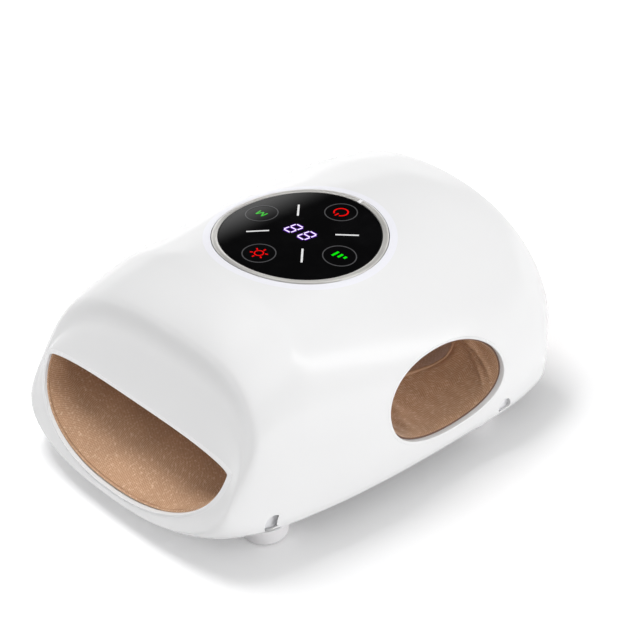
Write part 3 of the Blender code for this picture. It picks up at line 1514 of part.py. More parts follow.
def make_hoses():
    """Hoses from the pump to the manifold and from the valves to the bags."""
    deck = FOOT_HEIGHT + PALM_ROOF_TOP
    low_deck = FOOT_HEIGHT + FINGER_ROOF_TOP
    level = deck + 2 * HOSE_RADIUS
    head_y = PUMP_FRONT_Y + MOTOR_LENGTH + CLEARANCE + HEAD_LENGTH / 2
    head_top = FOOT_HEIGHT + PUMP_Z + HEAD_HEIGHT / 2 + CLEARANCE
    head_x = PUMP_X - HEAD_WALL - HOSE_RADIUS
    behind = VALVE_Y + MANIFOLD_WIDTH / 2 + CLEARANCE
    hose(
        "pump_hose",
        [
            (head_x, head_y, head_top),
            (head_x, head_y, head_top + 2 * HOSE_RADIUS),
            (head_x, head_y - HOSE_RADIUS, head_top + 5 * HOSE_RADIUS),
            (TUNNEL_HALF_WIDTH + 2.4 * HOSE_RADIUS, VALVE_Y + 7 * HOSE_RADIUS, deck - 6 * HOSE_RADIUS),
            (TUNNEL_HALF_WIDTH - HOSE_RADIUS, VALVE_Y + 7 * HOSE_RADIUS, deck - 2 * HOSE_RADIUS),
            (TUNNEL_HALF_WIDTH - 7 * HOSE_RADIUS, VALVE_Y + 6 * HOSE_RADIUS, deck),
            (VALVE_X + VALVE_WIDTH / 2, VALVE_Y + 6 * HOSE_RADIUS, level),
            (2 * HOSE_RADIUS, behind + 4 * HOSE_RADIUS, level),
            (0, behind + 2 * HOSE_RADIUS, level),
            (0, behind, level),
        ],
    )
    x, y = bag_inlet("finger")
    far = -VALVE_X - VALVE_WIDTH / 2 - CLEARANCE
    hose(
        "finger_hose",
        [
            (far, VALVE_Y, level),
            (far - 2 * HOSE_RADIUS, VALVE_Y, level),
            (x, VALVE_Y - 6 * HOSE_RADIUS, level),
            (x - HOSE_RADIUS, 0, level),
            (x - HOSE_RADIUS, y + 9 * HOSE_RADIUS, level),
            (x, y + HOSE_RADIUS, low_deck + 3 * HOSE_RADIUS),
            (x, y, low_deck + HOSE_RADIUS),
            (x, y, low_deck - POCKET_WALL),
        ],
    )
    x, y = bag_inlet("palm")
    near = VALVE_X + VALVE_WIDTH / 2 + CLEARANCE
    hose(
        "palm_hose",
        [
            (near, VALVE_Y, level + HOSE_RADIUS),
            (near + HOSE_RADIUS, VALVE_Y, level + HOSE_RADIUS),
            (near + 3 * HOSE_RADIUS, VALVE_Y - 2 * HOSE_RADIUS, level + HOSE_RADIUS),
            (x, y + HOSE_RADIUS / 2, level + HOSE_RADIUS / 2),
            (x, y, deck + HOSE_RADIUS / 2),
            (x, y, deck - POCKET_WALL),
        ],
    )


def make_wiring():
    """Ribbon cable from the touch board to the main board, and the battery's leads."""
    board_top = FOOT_HEIGHT + PALM_ROOF_TOP + POST_HEIGHT + 2 * CLEARANCE + BOARD_THICKNESS
    start = Vector((0, MAIN_BOARD_Y + MAIN_BOARD_LENGTH / 2 - RIBBON_WIDTH / 2, board_top))
    centre, along, out = panel_frame()
    under = centre - out * (TRAY_DEPTH + 2 * CLEARANCE + BOARD_THICKNESS)
    end = under + along * (start.y - centre.y)
    rise = end.z - start.z
    lift = Vector((0, 0, rise / 5))
    bow = Vector((0, rise * 0.8, rise / 2))
    line = [start, *smooth_line([start + lift, start + bow, end - lift], 3), end]
    loops = []
    for at, point in enumerate(line):
        before = line[max(at - 1, 0)]
        after = line[min(at + 1, len(line) - 1)]
        run = (after - before).normalized()
        thick = Vector((0, -run.z, run.y)) * RIBBON_THICKNESS / 2
        half = Vector((RIBBON_WIDTH / 2, 0, 0))
        loops.append([point + half + thick, point - half + thick, point - half - thick, point + half - thick])
    add_part("ribbon_cable", mesh_from(loops), "rubber_black")
    holder_end = (CELL_LENGTH + CELL_RADIUS / 4) / 2 + HOLDER_WALL + 3 * CLEARANCE
    low = FOOT_HEIGHT + FINGER_ROOF_TOP + LEAD_RADIUS * 4
    edge_y = MAIN_BOARD_Y - MAIN_BOARD_LENGTH / 2 - CLEARANCE
    board_level = board_top - BOARD_THICKNESS / 2
    for side, word in ((1, "positive"), (-1, "negative")):
        near_x = side * (holder_end + LEAD_RADIUS)
        far_x = side * MAIN_BOARD_WIDTH / 4
        tube(
            f"battery_lead_{word}",
            [
                (side * holder_end, cell_y(), low),
                (near_x, cell_y(), low),
                (side * (holder_end + 1.4 * LEAD_RADIUS), cell_y() + CELL_RADIUS * 0.7, low + LEAD_RADIUS),
                (
                    side * (holder_end + 1.4 * LEAD_RADIUS),
                    cell_y() + CELL_RADIUS * 1.4,
                    low + 4 * LEAD_RADIUS,
                ),
                (side * (holder_end - 8 * LEAD_RADIUS), cell_y() + CELL_RADIUS * 2.2, board_level),
                (far_x, edge_y - 2 * LEAD_RADIUS, board_level),
                (far_x, edge_y, board_level),
            ],
            LEAD_RADIUS,
            "rubber_black",
        )


def main():
    clear_scene()
    make_materials()
    make_top_shell()
    make_base()
    make_feet()
    make_side_screws()
    make_front_bezel()
    make_rear_cover()
    make_charging()
    make_thumb_rims()
    make_liner()
    make_press_pads()
    make_upper_frame()
    make_lower_frame()
    make_node_plate()
    make_panel()
    make_touch_board()
    make_main_board()
    make_battery()
    make_valves()
    make_manifold()
    make_pump()
    make_hoses()
    make_wiring()


main()
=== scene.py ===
import math
import bmesh
import bpy
from mathutils import Matrix, Vector


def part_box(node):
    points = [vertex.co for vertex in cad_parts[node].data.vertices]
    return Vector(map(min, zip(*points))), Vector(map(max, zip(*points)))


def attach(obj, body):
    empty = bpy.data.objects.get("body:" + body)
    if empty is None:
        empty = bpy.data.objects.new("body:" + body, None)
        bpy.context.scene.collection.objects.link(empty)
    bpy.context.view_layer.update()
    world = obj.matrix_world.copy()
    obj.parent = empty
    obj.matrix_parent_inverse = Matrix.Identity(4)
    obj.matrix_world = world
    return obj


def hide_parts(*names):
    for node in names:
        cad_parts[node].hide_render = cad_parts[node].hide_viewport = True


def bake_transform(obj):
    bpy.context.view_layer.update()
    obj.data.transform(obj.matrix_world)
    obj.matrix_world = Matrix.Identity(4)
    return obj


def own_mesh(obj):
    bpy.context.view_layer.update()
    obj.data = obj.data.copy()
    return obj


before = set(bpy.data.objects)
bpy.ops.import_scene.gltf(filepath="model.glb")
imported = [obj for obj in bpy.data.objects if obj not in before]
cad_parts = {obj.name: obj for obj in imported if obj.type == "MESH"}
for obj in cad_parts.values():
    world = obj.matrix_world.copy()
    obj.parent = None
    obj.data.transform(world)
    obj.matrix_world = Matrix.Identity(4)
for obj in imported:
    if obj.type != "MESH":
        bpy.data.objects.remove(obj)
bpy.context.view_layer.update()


# Base cover. A flat plate of satin white ABS that closes the underside of the shell.
# It is injection moulded, so its face carries a fine spark-eroded grain, and it is
# held by the four screws that also hold the feet.
def new_group(name, inputs, outputs):
    """An empty shader node group with named sockets."""
    group = bpy.data.node_groups.new(name, "ShaderNodeTree")
    for label, kind, value in inputs:
        socket = group.interface.new_socket(label, in_out="INPUT", socket_type=kind)
        if value is not None:
            socket.default_value = value
    for label, kind in outputs:
        group.interface.new_socket(label, in_out="OUTPUT", socket_type=kind)
    return group, group.nodes.new("NodeGroupInput"), group.nodes.new("NodeGroupOutput")


def maths(tree, operation, first, second=0.0, clamp=False):
    """One Math node; an operand is a number or a socket."""
    node = tree.nodes.new("ShaderNodeMath")
    node.operation = operation
    node.use_clamp = clamp
    for socket, value in zip(node.inputs, (first, second)):
        if isinstance(value, (int, float)):
            socket.default_value = value
        else:
            tree.links.new(value, socket)
    return node.outputs[0]


def noise_of(tree, place, scale, detail=2.0, rough=0.5):
    """One Noise Texture read at a place; the scale is a number or a socket."""
    node = tree.nodes.new("ShaderNodeTexNoise")
    node.inputs["Detail"].default_value = detail
    node.inputs["Roughness"].default_value = rough
    tree.links.new(place, node.inputs["Vector"])
    if isinstance(scale, (int, float)):
        node.inputs["Scale"].default_value = scale
    else:
        tree.links.new(scale, node.inputs["Scale"])
    return node.outputs["Fac"]


def spread(tree, value, low, high, bottom, top):
    """A value mapped from one range to another, smoothly and clamped."""
    node = tree.nodes.new("ShaderNodeMapRange")
    node.interpolation_type = "SMOOTHSTEP"
    tree.links.new(value, node.inputs["Value"])
    for label, number in (("From Min", low), ("From Max", high), ("To Min", bottom), ("To Max", top)):
        if isinstance(number, (int, float)):
            node.inputs[label].default_value = number
        else:
            tree.links.new(number, node.inputs[label])
    return node.outputs["Result"]


# The grain of a moulded face: fine pits for the bump and a slow drift in the tone.
moulded_grain, grain_in, grain_out = new_group(
    "Moulded grain",
    [("Grains per metre", "NodeSocketFloat", 2500.0), ("Drift", "NodeSocketFloat", 0.02)],
    [("Height", "NodeSocketFloat"), ("Tone", "NodeSocketFloat")],
)
grain_place = moulded_grain.nodes.new("ShaderNodeTexCoord").outputs["Object"]
grain_pits = noise_of(moulded_grain, grain_place, grain_in.outputs["Grains per metre"], detail=3.0, rough=0.6)
grain_drift = noise_of(moulded_grain, grain_place, 28.0, detail=2.0, rough=0.5)
moulded_grain.links.new(grain_pits, grain_out.inputs["Height"])
grain_swing = maths(
    moulded_grain,
    "MULTIPLY",
    maths(moulded_grain, "SUBTRACT", grain_drift, 0.5),
    grain_in.outputs["Drift"],
)
moulded_grain.links.new(maths(moulded_grain, "ADD", grain_swing, 1.0), grain_out.inputs["Tone"])

# Handling: faint smears and hairline rubs that change how sharply a face shines.
handling, handling_in, handling_out = new_group(
    "Handling",
    [
        ("Clean", "NodeSocketFloat", 0.2),
        ("Rubbed", "NodeSocketFloat", 0.3),
        ("Smears per metre", "NodeSocketFloat", 60.0),
    ],
    [("Roughness", "NodeSocketFloat"), ("Rub", "NodeSocketFloat")],
)
handling_place = handling.nodes.new("ShaderNodeTexCoord").outputs["Object"]
smear = noise_of(handling, handling_place, handling_in.outputs["Smears per metre"], detail=4.0, rough=0.62)
stretch = handling.nodes.new("ShaderNodeMapping")
stretch.inputs["Rotation"].default_value = (0.3, 0.2, 0.7)
stretch.inputs["Scale"].default_value = (2600.0, 90.0, 600.0)
handling.links.new(handling_place, stretch.inputs["Vector"])
hairs = noise_of(handling, stretch.outputs["Vector"], 1.0, detail=1.0, rough=0.4)
rub = maths(
    handling,
    "MULTIPLY",
    spread(handling, smear, 0.42, 0.72, 0.0, 1.0),
    spread(handling, hairs, 0.35, 0.8, 0.5, 1.0),
)
handling.links.new(
    spread(handling, rub, 0.0, 1.0, handling_in.outputs["Clean"], handling_in.outputs["Rubbed"]),
    handling_out.inputs["Roughness"],
)
handling.links.new(rub, handling_out.inputs["Rub"])

# Edge wear: where an edge is handled its colour pales a little.
edge_wear, wear_in, wear_out = new_group(
    "Edge wear",
    [("Amount", "NodeSocketFloat", 0.3)],
    [("Mask", "NodeSocketFloat")],
)
wear_point = edge_wear.nodes.new("ShaderNodeNewGeometry").outputs["Pointiness"]
wear_place = edge_wear.nodes.new("ShaderNodeTexCoord").outputs["Object"]
wear_break = noise_of(edge_wear, wear_place, 420.0, detail=3.0, rough=0.6)
wear_edge = spread(edge_wear, wear_point, 0.57, 0.70, 0.0, 1.0)
wear_mask = maths(
    edge_wear,
    "MULTIPLY",
    maths(edge_wear, "MULTIPLY", wear_edge, wear_break),
    wear_in.outputs["Amount"],
    True,
)
edge_wear.links.new(wear_mask, wear_out.inputs["Mask"])


def place_group(tree, group, **values):
    """A group placed in a material with its own values; underscores stand for spaces."""
    node = tree.nodes.new("ShaderNodeGroup")
    node.node_tree = group
    for label, value in values.items():
        node.inputs[label.replace("_", " ")].default_value = value
    return node


def tinted(tree, colour, factor, other):
    """A colour mixed towards another by a mask."""
    node = tree.nodes.new("ShaderNodeMix")
    node.data_type = "RGBA"
    tree.links.new(factor, node.inputs["Factor"])
    for at, value in ((6, colour), (7, other)):
        if isinstance(value, tuple):
            node.inputs[at].default_value = (*value, 1.0)
        else:
            tree.links.new(value, node.inputs[at])
    return node.outputs[2]


def toned(tree, colour, tone):
    """A colour made lighter or darker by a factor near one."""
    node = tree.nodes.new("ShaderNodeVectorMath")
    node.operation = "SCALE"
    if isinstance(colour, tuple):
        node.inputs[0].default_value = colour
    else:
        tree.links.new(colour, node.inputs[0])
    tree.links.new(tone, node.inputs["Scale"])
    return node.outputs["Vector"]


def bump_of(tree, shader, height, strength, distance):
    """A Bump node from a height to the shader's normal."""
    node = tree.nodes.new("ShaderNodeBump")
    node.inputs["Strength"].default_value = strength
    node.inputs["Distance"].default_value = distance
    tree.links.new(height, node.inputs["Height"])
    tree.links.new(node.outputs["Normal"], shader.inputs["Normal"])
    return node


def new_finish(name, **sockets):
    """A material with its Principled shader; plain values go on the shader's own sockets."""
    made = bpy.data.materials.new(name)
    made.use_nodes = True
    shader = made.node_tree.nodes["Principled BSDF"]
    for label, value in sockets.items():
        shader.inputs[label.replace("_", " ")].default_value = value
    return made, made.node_tree, shader


def moulded_plastic(name, colour, clean, rubbed, grain_depth, grains, pale, **sockets):
    """Moulded plastic: a tone that drifts, pale handled edges, uneven gloss and fine grain."""
    made, tree, shader = new_finish(name, **sockets)
    grain = place_group(tree, moulded_grain, Grains_per_metre=grains, Drift=0.03)
    touch = place_group(tree, handling, Clean=clean, Rubbed=rubbed)
    wear = place_group(tree, edge_wear, Amount=0.5)
    worn = tinted(tree, colour, wear.outputs["Mask"], pale)
    tree.links.new(toned(tree, worn, grain.outputs["Tone"]), shader.inputs["Base Color"])
    tree.links.new(touch.outputs["Roughness"], shader.inputs["Roughness"])
    bump_of(tree, shader, grain.outputs["Height"], strength=0.5, distance=grain_depth)
    return made


def wear_finish(node, made):
    """Give a CAD node its material."""
    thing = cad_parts[node]
    thing.data.materials.clear()
    thing.data.materials.append(made)


satin_white = moulded_plastic(
    "satin white ABS",
    (0.70, 0.70, 0.71),
    clean=0.38,
    rubbed=0.48,
    grain_depth=0.00003,
    grains=3200.0,
    pale=(0.76, 0.76, 0.77),
)
wear_finish("base_cover", satin_white)


# Feet. Four soft feet turned to a slight taper with a rounded edge and a counterbore.
# They are moulded in off-white rubber and clamped to the base by a long screw each,
# so they keep the shell's lip a finger's width above the table.
def lathe(name, profile, centre, steps):
    """A closed ring section turned about a vertical axis."""
    shape = bmesh.new()
    rows = []
    for step in range(steps):
        angle = 2 * math.pi * step / steps
        rows.append([
            shape.verts.new((
                centre[0] + radius * math.cos(angle),
                centre[1] + radius * math.sin(angle),
                centre[2] + height,
            ))
            for radius, height in profile
        ])
    for at, row in enumerate(rows):
        after = rows[(at + 1) % steps]
        for step in range(len(profile)):
            beyond = (step + 1) % len(profile)
            shape.faces.new((row[step], after[step], after[beyond], row[beyond]))
    return to_object(name, shape)


def to_object(name, shape, smooth_angle=0.7):
    """Turn a bmesh into a smooth shaded object in the scene."""
    bmesh.ops.recalc_face_normals(shape, faces=shape.faces)
    mesh = bpy.data.meshes.new(name)
    shape.to_mesh(mesh)
    shape.free()
    mesh.shade_smooth()
    mesh.set_sharp_from_angle(angle=smooth_angle)
    made = bpy.data.objects.new(name, mesh)
    bpy.context.scene.collection.objects.link(made)
    return made


def dress(piece, made, body="housing"):
    """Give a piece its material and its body."""
    piece.data.materials.clear()
    piece.data.materials.append(made)
    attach(piece, body)
    return piece


foot_rubber, foot_tree, foot_shader = new_finish("off-white foot rubber", Specular_IOR_Level=0.35)
foot_grain = place_group(foot_tree, moulded_grain, Grains_per_metre=1800.0, Drift=0.05)
foot_touch = place_group(foot_tree, handling, Clean=0.52, Rubbed=0.68, Smears_per_metre=220.0)
foot_dust = noise_of(
    foot_tree,
    foot_tree.nodes.new("ShaderNodeTexCoord").outputs["Object"],
    260.0,
    detail=4.0,
    rough=0.6,
)
foot_dirt = spread(foot_tree, foot_dust, 0.5, 0.8, 0.0, 0.35)
foot_tree.links.new(
    toned(
        foot_tree,
        tinted(foot_tree, (0.72, 0.71, 0.72), foot_dirt, (0.60, 0.59, 0.59)),
        foot_grain.outputs["Tone"],
    ),
    foot_shader.inputs["Base Color"],
)
foot_tree.links.new(foot_touch.outputs["Roughness"], foot_shader.inputs["Roughness"])
bump_of(foot_tree, foot_shader, foot_grain.outputs["Height"], strength=0.5, distance=0.00006)

FOOT_TOP = 0.0114
FOOT_TREAD = 0.0104
FOOT_ROUND = 0.0020
FOOT_BORE = 0.0040
FOOT_BORE_DEPTH = 0.0035
FOOT_HOLE = 0.0015
FOOT_CHAMFER = 0.0004
FOOT_BORE_EDGE = 0.0003
for spot in ("front_right", "front_left", "rear_right", "rear_left"):
    low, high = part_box(f"foot_{spot}")
    middle = (low + high) / 2
    tall = high.z - low.z
    section = [(FOOT_HOLE, tall), (FOOT_TOP - FOOT_CHAMFER, tall), (FOOT_TOP, tall - FOOT_CHAMFER)]
    for step in range(7):
        angle = math.radians(15 * step)
        section.append((
            FOOT_TREAD - FOOT_ROUND + FOOT_ROUND * math.cos(angle),
            FOOT_ROUND - FOOT_ROUND * math.sin(angle),
        ))
    section += [
        (FOOT_BORE + FOOT_BORE_EDGE, 0.0),
        (FOOT_BORE, FOOT_BORE_EDGE),
        (FOOT_BORE, FOOT_BORE_DEPTH),
        (FOOT_HOLE, FOOT_BORE_DEPTH),
    ]
    foot = lathe(f"soft_foot_{spot}", section, (middle.x, middle.y, low.z), 72)
    dress(foot, foot_rubber)
    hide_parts(f"foot_{spot}")


# Screws. Zinc-plated pan-head screws, four up through the feet and four in from the
# side pockets. The plating is bright but brushed round by the driver.
def brushed_metal(name, colour, clean, rubbed, run=(60.0, 60.0, 4000.0)):
    """Metal with fine lines along one way and worn highlights."""
    made, tree, shader = new_finish(name, Metallic=1.0)
    place = tree.nodes.new("ShaderNodeTexCoord").outputs["Object"]
    lines = tree.nodes.new("ShaderNodeMapping")
    lines.inputs["Scale"].default_value = run
    tree.links.new(place, lines.inputs["Vector"])
    streak = noise_of(tree, lines.outputs["Vector"], 1.0, detail=3.0, rough=0.6)
    touch = place_group(tree, handling, Clean=clean, Rubbed=rubbed, Smears_per_metre=150.0)
    tree.links.new(
        toned(tree, colour, spread(tree, streak, 0.2, 0.8, 0.86, 1.06)),
        shader.inputs["Base Color"],
    )
    tree.links.new(touch.outputs["Roughness"], shader.inputs["Roughness"])
    bump_of(tree, shader, streak, strength=0.3, distance=0.00002)
    return made


plated_steel = brushed_metal("zinc-plated steel", (0.62, 0.62, 0.61), clean=0.26, rubbed=0.42)
for spot in ("front_right", "front_left", "rear_right", "rear_left"):
    wear_finish(f"base_screw_{spot}", plated_steel)
    wear_finish(f"side_screw_{spot}", plated_steel)


# Frames. The lower one is a trough that carries the node plate and takes the screws in
# its bosses, and the upper one holds the air bags in its pockets. Both are moulded in
# light grey ABS, plain and matt, because they are inner pieces.
frame_grey = moulded_plastic(
    "grey frame ABS",
    (0.52, 0.52, 0.54),
    clean=0.48,
    rubbed=0.6,
    grain_depth=0.00005,
    grains=1500.0,
    pale=(0.6, 0.6, 0.62),
)
wear_finish("lower_frame", frame_grey)
wear_finish("upper_frame", frame_grey)


# Node plate and heating film. A white polypropylene plate with rows of blunt nodes lies
# under the palm, and a printed polyimide film with a winding carbon track lies over it.
node_white = moulded_plastic(
    "node plate white",
    (0.74, 0.74, 0.73),
    clean=0.34,
    rubbed=0.45,
    grain_depth=0.00003,
    grains=2400.0,
    pale=(0.8, 0.8, 0.79),
)
wear_finish("massage_node_plate", node_white)
film, film_tree, film_shader = new_finish("heating film", IOR=1.5)
film_place = film_tree.nodes.new("ShaderNodeTexCoord").outputs["Object"]
film_track = film_tree.nodes.new("ShaderNodeTexWave")
film_track.inputs["Scale"].default_value = 50.0
film_track.inputs["Distortion"].default_value = 1.5
film_track.inputs["Detail"].default_value = 0.0
film_tree.links.new(film_place, film_track.inputs["Vector"])
film_line = spread(film_tree, film_track.outputs["Fac"], 0.45, 0.55, 0.0, 1.0)
film_tree.links.new(
    tinted(film_tree, (0.48, 0.24, 0.05), film_line, (0.05, 0.04, 0.035)),
    film_shader.inputs["Base Color"],
)
film_touch = place_group(film_tree, handling, Clean=0.25, Rubbed=0.4)
film_tree.links.new(film_touch.outputs["Roughness"], film_shader.inputs["Roughness"])
bump_of(film_tree, film_shader, film_line, strength=0.4, distance=0.00004)
wear_finish("heating_film", film)


# Air pump. A small direct-current motor in a drawn steel can turns a cam in the black
# diaphragm head, and the whole pump rests in a rubber saddle beside the tunnel.
black_plastic = moulded_plastic(
    "black nylon",
    (0.022, 0.022, 0.024),
    clean=0.42,
    rubbed=0.55,
    grain_depth=0.00004,
    grains=2000.0,
    pale=(0.05, 0.05, 0.052),
)
soft_rubber = moulded_plastic(
    "black rubber",
    (0.03, 0.03, 0.031),
    clean=0.7,
    rubbed=0.85,
    grain_depth=0.00006,
    grains=1600.0,
    pale=(0.055, 0.055, 0.056),
)
motor_steel = brushed_metal(
    "drawn motor can",
    (0.55, 0.55, 0.56),
    clean=0.24,
    rubbed=0.4,
    run=(60.0, 4000.0, 60.0),
)
wear_finish("pump_motor", motor_steel)
wear_finish("pump_rotor", motor_steel)
wear_finish("pump_head", black_plastic)
wear_finish("pump_saddle", soft_rubber)


# Valves, manifold and hoses. Two solenoid valves stand either side of a moulded air
# manifold, and milky silicone hose joins them to the pump and to the two air bags. A
# steel spring lies under each plunger; in use it shortens as the coil pulls the plunger in,
# but here it is drawn at one length.
coil_steel = brushed_metal("valve yoke steel", (0.5, 0.5, 0.52), clean=0.3, rubbed=0.48)
for which in ("finger", "palm"):
    wear_finish(f"{which}_valve_body", coil_steel)
    wear_finish(f"{which}_valve_plunger", plated_steel)
    wear_finish(f"{which}_valve_spring", plated_steel)
    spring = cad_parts[f"{which}_valve_spring"]
    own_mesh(spring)
wear_finish("air_manifold", satin_white)
silicone, silicone_tree, silicone_shader = new_finish(
    "milky silicone hose",
    IOR=1.41,
    Subsurface_Weight=0.25,
    Subsurface_Scale=0.002,
)
silicone_place = silicone_tree.nodes.new("ShaderNodeTexCoord").outputs["Object"]
silicone_haze = noise_of(silicone_tree, silicone_place, 180.0, detail=3.0, rough=0.6)
silicone_tree.links.new(
    toned(silicone_tree, (0.72, 0.74, 0.74), spread(silicone_tree, silicone_haze, 0.3, 0.7, 0.92, 1.05)),
    silicone_shader.inputs["Base Color"],
)
silicone_touch = place_group(silicone_tree, handling, Clean=0.24, Rubbed=0.4)
silicone_tree.links.new(silicone_touch.outputs["Roughness"], silicone_shader.inputs["Roughness"])
for which in ("pump", "finger", "palm"):
    wear_finish(f"{which}_hose", silicone)


# Air bags. Two flat bladders welded from milky urethane film lie in the pockets of the
# upper frame. They push the press pads down when the pump fills them.
bag_film, bag_tree, bag_shader = new_finish("welded bag film", IOR=1.5)
bag_place = bag_tree.nodes.new("ShaderNodeTexCoord").outputs["Object"]
bag_crease = bag_tree.nodes.new("ShaderNodeTexVoronoi")
bag_crease.feature = "DISTANCE_TO_EDGE"
bag_crease.inputs["Scale"].default_value = 90.0
bag_tree.links.new(bag_place, bag_crease.inputs["Vector"])
bag_line = spread(bag_tree, bag_crease.outputs["Distance"], 0.0, 0.12, 0.0, 1.0)
bag_tree.links.new(
    tinted(bag_tree, (0.70, 0.72, 0.74), bag_line, (0.60, 0.62, 0.65)),
    bag_shader.inputs["Base Color"],
)
bag_touch = place_group(bag_tree, handling, Clean=0.3, Rubbed=0.45)
bag_tree.links.new(bag_touch.outputs["Roughness"], bag_shader.inputs["Roughness"])
bump_of(bag_tree, bag_shader, bag_line, strength=0.4, distance=0.0002)
wear_finish("finger_airbag", bag_film)
wear_finish("palm_airbag", bag_film)


# Tunnel lining. A sleeve of tan satin-backed knit, cut flat, sewn into a tube and held
# tight over the frames. It is glued behind the finger lip and the wrist cover, and it
# has windows for the two press pads and holes for the thumb sleeves.
BODY_HALF_WIDTH = 0.09230
FOOT_HEIGHT = 0.0095
TUNNEL_HALF_WIDTH = 0.060
TUNNEL_ROOF = 0.0445
TUNNEL_FLOOR = 0.0105
TUNNEL_WIDEST = 0.024
TUNNEL_PLACES = (
    -0.10266,
    -0.08844,
    -0.07447,
    -0.04004,
    -0.02700,
    -0.02150,
    0.03946,
    0.06953,
    0.07829,
    0.08741,
)
TUNNEL_STATION_SHARES = (
    (0.62, 0.955, 0.745, 1.30, 0.450, 3.4, 2.2),
    (0.45, 0.967, 0.854, 1.08, 0.762, 3.6, 2.6),
    (0.20, 0.983, 0.899, 1.00, 0.952, 4.5, 3.0),
    (0.00, 1.000, 0.906, 1.00, 1.000, 4.5, 3.0),
    (0.00, 1.000, 0.933, 1.00, 1.000, 4.5, 3.0),
    (0.00, 1.000, 0.990, 1.00, 1.000, 4.5, 3.0),
    (0.00, 1.000, 1.000, 1.00, 1.000, 4.5, 3.0),
    (0.05, 1.000, 1.022, 1.00, 0.985, 4.2, 3.0),
    (0.12, 1.005, 1.085, 1.03, 0.800, 3.6, 3.0),
    (0.193, 1.033, 1.190, 1.10, 0.500, 3.2, 3.0),
)
LINING_THICKNESS = 0.0009
THUMB_Y = 0.01940
THUMB_Z = 0.0386
THUMB_LENGTH = 0.068
THUMB_HEIGHT = 0.0372
THUMB_FULLNESS = 2.2
RIM_WALL = 0.0012
PIECE_GAP = 0.0003


def smooth_row(table, share):
    """Read a table of stations at a share of its run, with smooth slopes and no overshoot."""
    last = len(table) - 1
    place = min(max(share, 0.0), 1.0) * last
    low = min(int(place), last - 1)
    part = place - low
    row = []
    for column in range(len(table[0])):
        value = [station[column] for station in table]
        rise = [after - before for before, after in zip(value, value[1:])]
        slope = []
        for at in (low, low + 1):
            if at in (0, last):
                slope.append(rise[0] if at == 0 else rise[-1])
            else:
                before, after = rise[at - 1], rise[at]
                level = before * after <= 0
                slope.append(0.0 if level else 2 * before * after / (before + after))
        square = part * part
        cube = square * part
        row.append(
            value[low] * (2 * cube - 3 * square + 1)
            + slope[0] * (cube - 2 * square + part)
            + value[low + 1] * (3 * square - 2 * cube)
            + slope[1] * (cube - square)
        )
    return row


def signed_power(value, power):
    """Raise the size of a value to a power and keep its sign."""
    return math.copysign(abs(value) ** power, value)


def tunnel_sizes(share, grow=0.0):
    """Place, lean, half width, roof, widest level, floor and fullness of the tunnel."""
    table = [(place, *row) for place, row in zip(TUNNEL_PLACES, TUNNEL_STATION_SHARES)]
    place, lean, width, roof, widest, floor_level, arch, floor = smooth_row(table, share)
    return (
        place,
        lean,
        TUNNEL_HALF_WIDTH * width + grow,
        TUNNEL_ROOF * roof + grow,
        TUNNEL_WIDEST * widest,
        TUNNEL_FLOOR * floor_level - grow,
        arch,
        floor,
    )


def station_point(sizes, angle, push=0.0):
    """One point of a station's outline; push moves it along Y."""
    place, lean, half_width, crown, widest, low, arch, floor = sizes
    across, rise = math.cos(angle), math.sin(angle)
    if rise >= 0:
        x = half_width * signed_power(across, 2 / arch)
        z = widest + (crown - widest) * signed_power(rise, 2 / arch)
    else:
        x = half_width * signed_power(across, 2 / floor)
        z = widest + (widest - low) * signed_power(rise, 2 / floor)
    return Vector((x, place + lean * z + push, z + FOOT_HEIGHT))


def even_angles(sizes, count):
    """Angles that share a closed outline into steps of equal length."""
    fine = [2 * math.pi * step / (count * 6) for step in range(count * 6 + 1)]
    points = [station_point(sizes, angle) for angle in fine]
    runs = [0.0]
    for before, after in zip(points, points[1:]):
        runs.append(runs[-1] + (after - before).length)
    angles, at = [], 0
    for step in range(count):
        goal = runs[-1] * step / count
        while runs[at + 1] < goal:
            at += 1
        part = (goal - runs[at]) / max(runs[at + 1] - runs[at], 1e-9)
        angles.append(fine[at] + (fine[at + 1] - fine[at]) * part)
    return angles


def skin(name, loops, closed=False, capped=False, measure=False, smooth_angle=0.7):
    """Skin a row of equal loops, with cloth coordinates in metres where it is measured."""
    shape = bmesh.new()
    rows = [[shape.verts.new(point) for point in loop] for loop in loops]
    count = len(loops[0])
    sheet = shape.loops.layers.uv.new("cloth") if measure else None
    across = [[0.0] for _ in loops]
    for row, loop in zip(across, loops):
        for step in range(count):
            row.append(row[-1] + (Vector(loop[(step + 1) % count]) - Vector(loop[step])).length)
    along = [0.0]
    for before, after in zip(loops, loops[1:] + loops[:1]):
        along.append(along[-1] + (Vector(after[0]) - Vector(before[0])).length)
    pairs = list(range(len(rows) - 1)) + ([len(rows) - 1] if closed else [])
    for at in pairs:
        row, following = rows[at], rows[(at + 1) % len(rows)]
        after_row = (at + 1) % len(rows)
        for step in range(count):
            beyond = (step + 1) % count
            face = shape.faces.new((row[step], row[beyond], following[beyond], following[step]))
            if sheet:
                spots = (
                    (across[at][step], along[at]),
                    (across[at][step + 1], along[at]),
                    (across[after_row][step + 1], along[at + 1]),
                    (across[after_row][step], along[at + 1]),
                )
                for corner, spot in zip(face.loops, spots):
                    corner[sheet].uv = spot
    if capped:
        shape.faces.new(list(reversed(rows[0])))
        shape.faces.new(rows[-1])
    return to_object(name, shape, smooth_angle)


def carve(piece, tools, operation="DIFFERENCE"):
    """Take tools out of a piece, or join them to it, and leave a plain mesh."""
    tool = gathered(tools)
    step = piece.modifiers.new("Carve", "BOOLEAN")
    step.operation = operation
    step.solver = "EXACT"
    step.object = tool
    settle(piece)
    bpy.data.objects.remove(tool, do_unlink=True)


def gathered(tools):
    """Several tools that stand clear of each other, made into one."""
    shape = bmesh.new()
    for tool in tools:
        shape.from_mesh(tool.data)
        bpy.data.objects.remove(tool, do_unlink=True)
    return to_object("tool", shape)


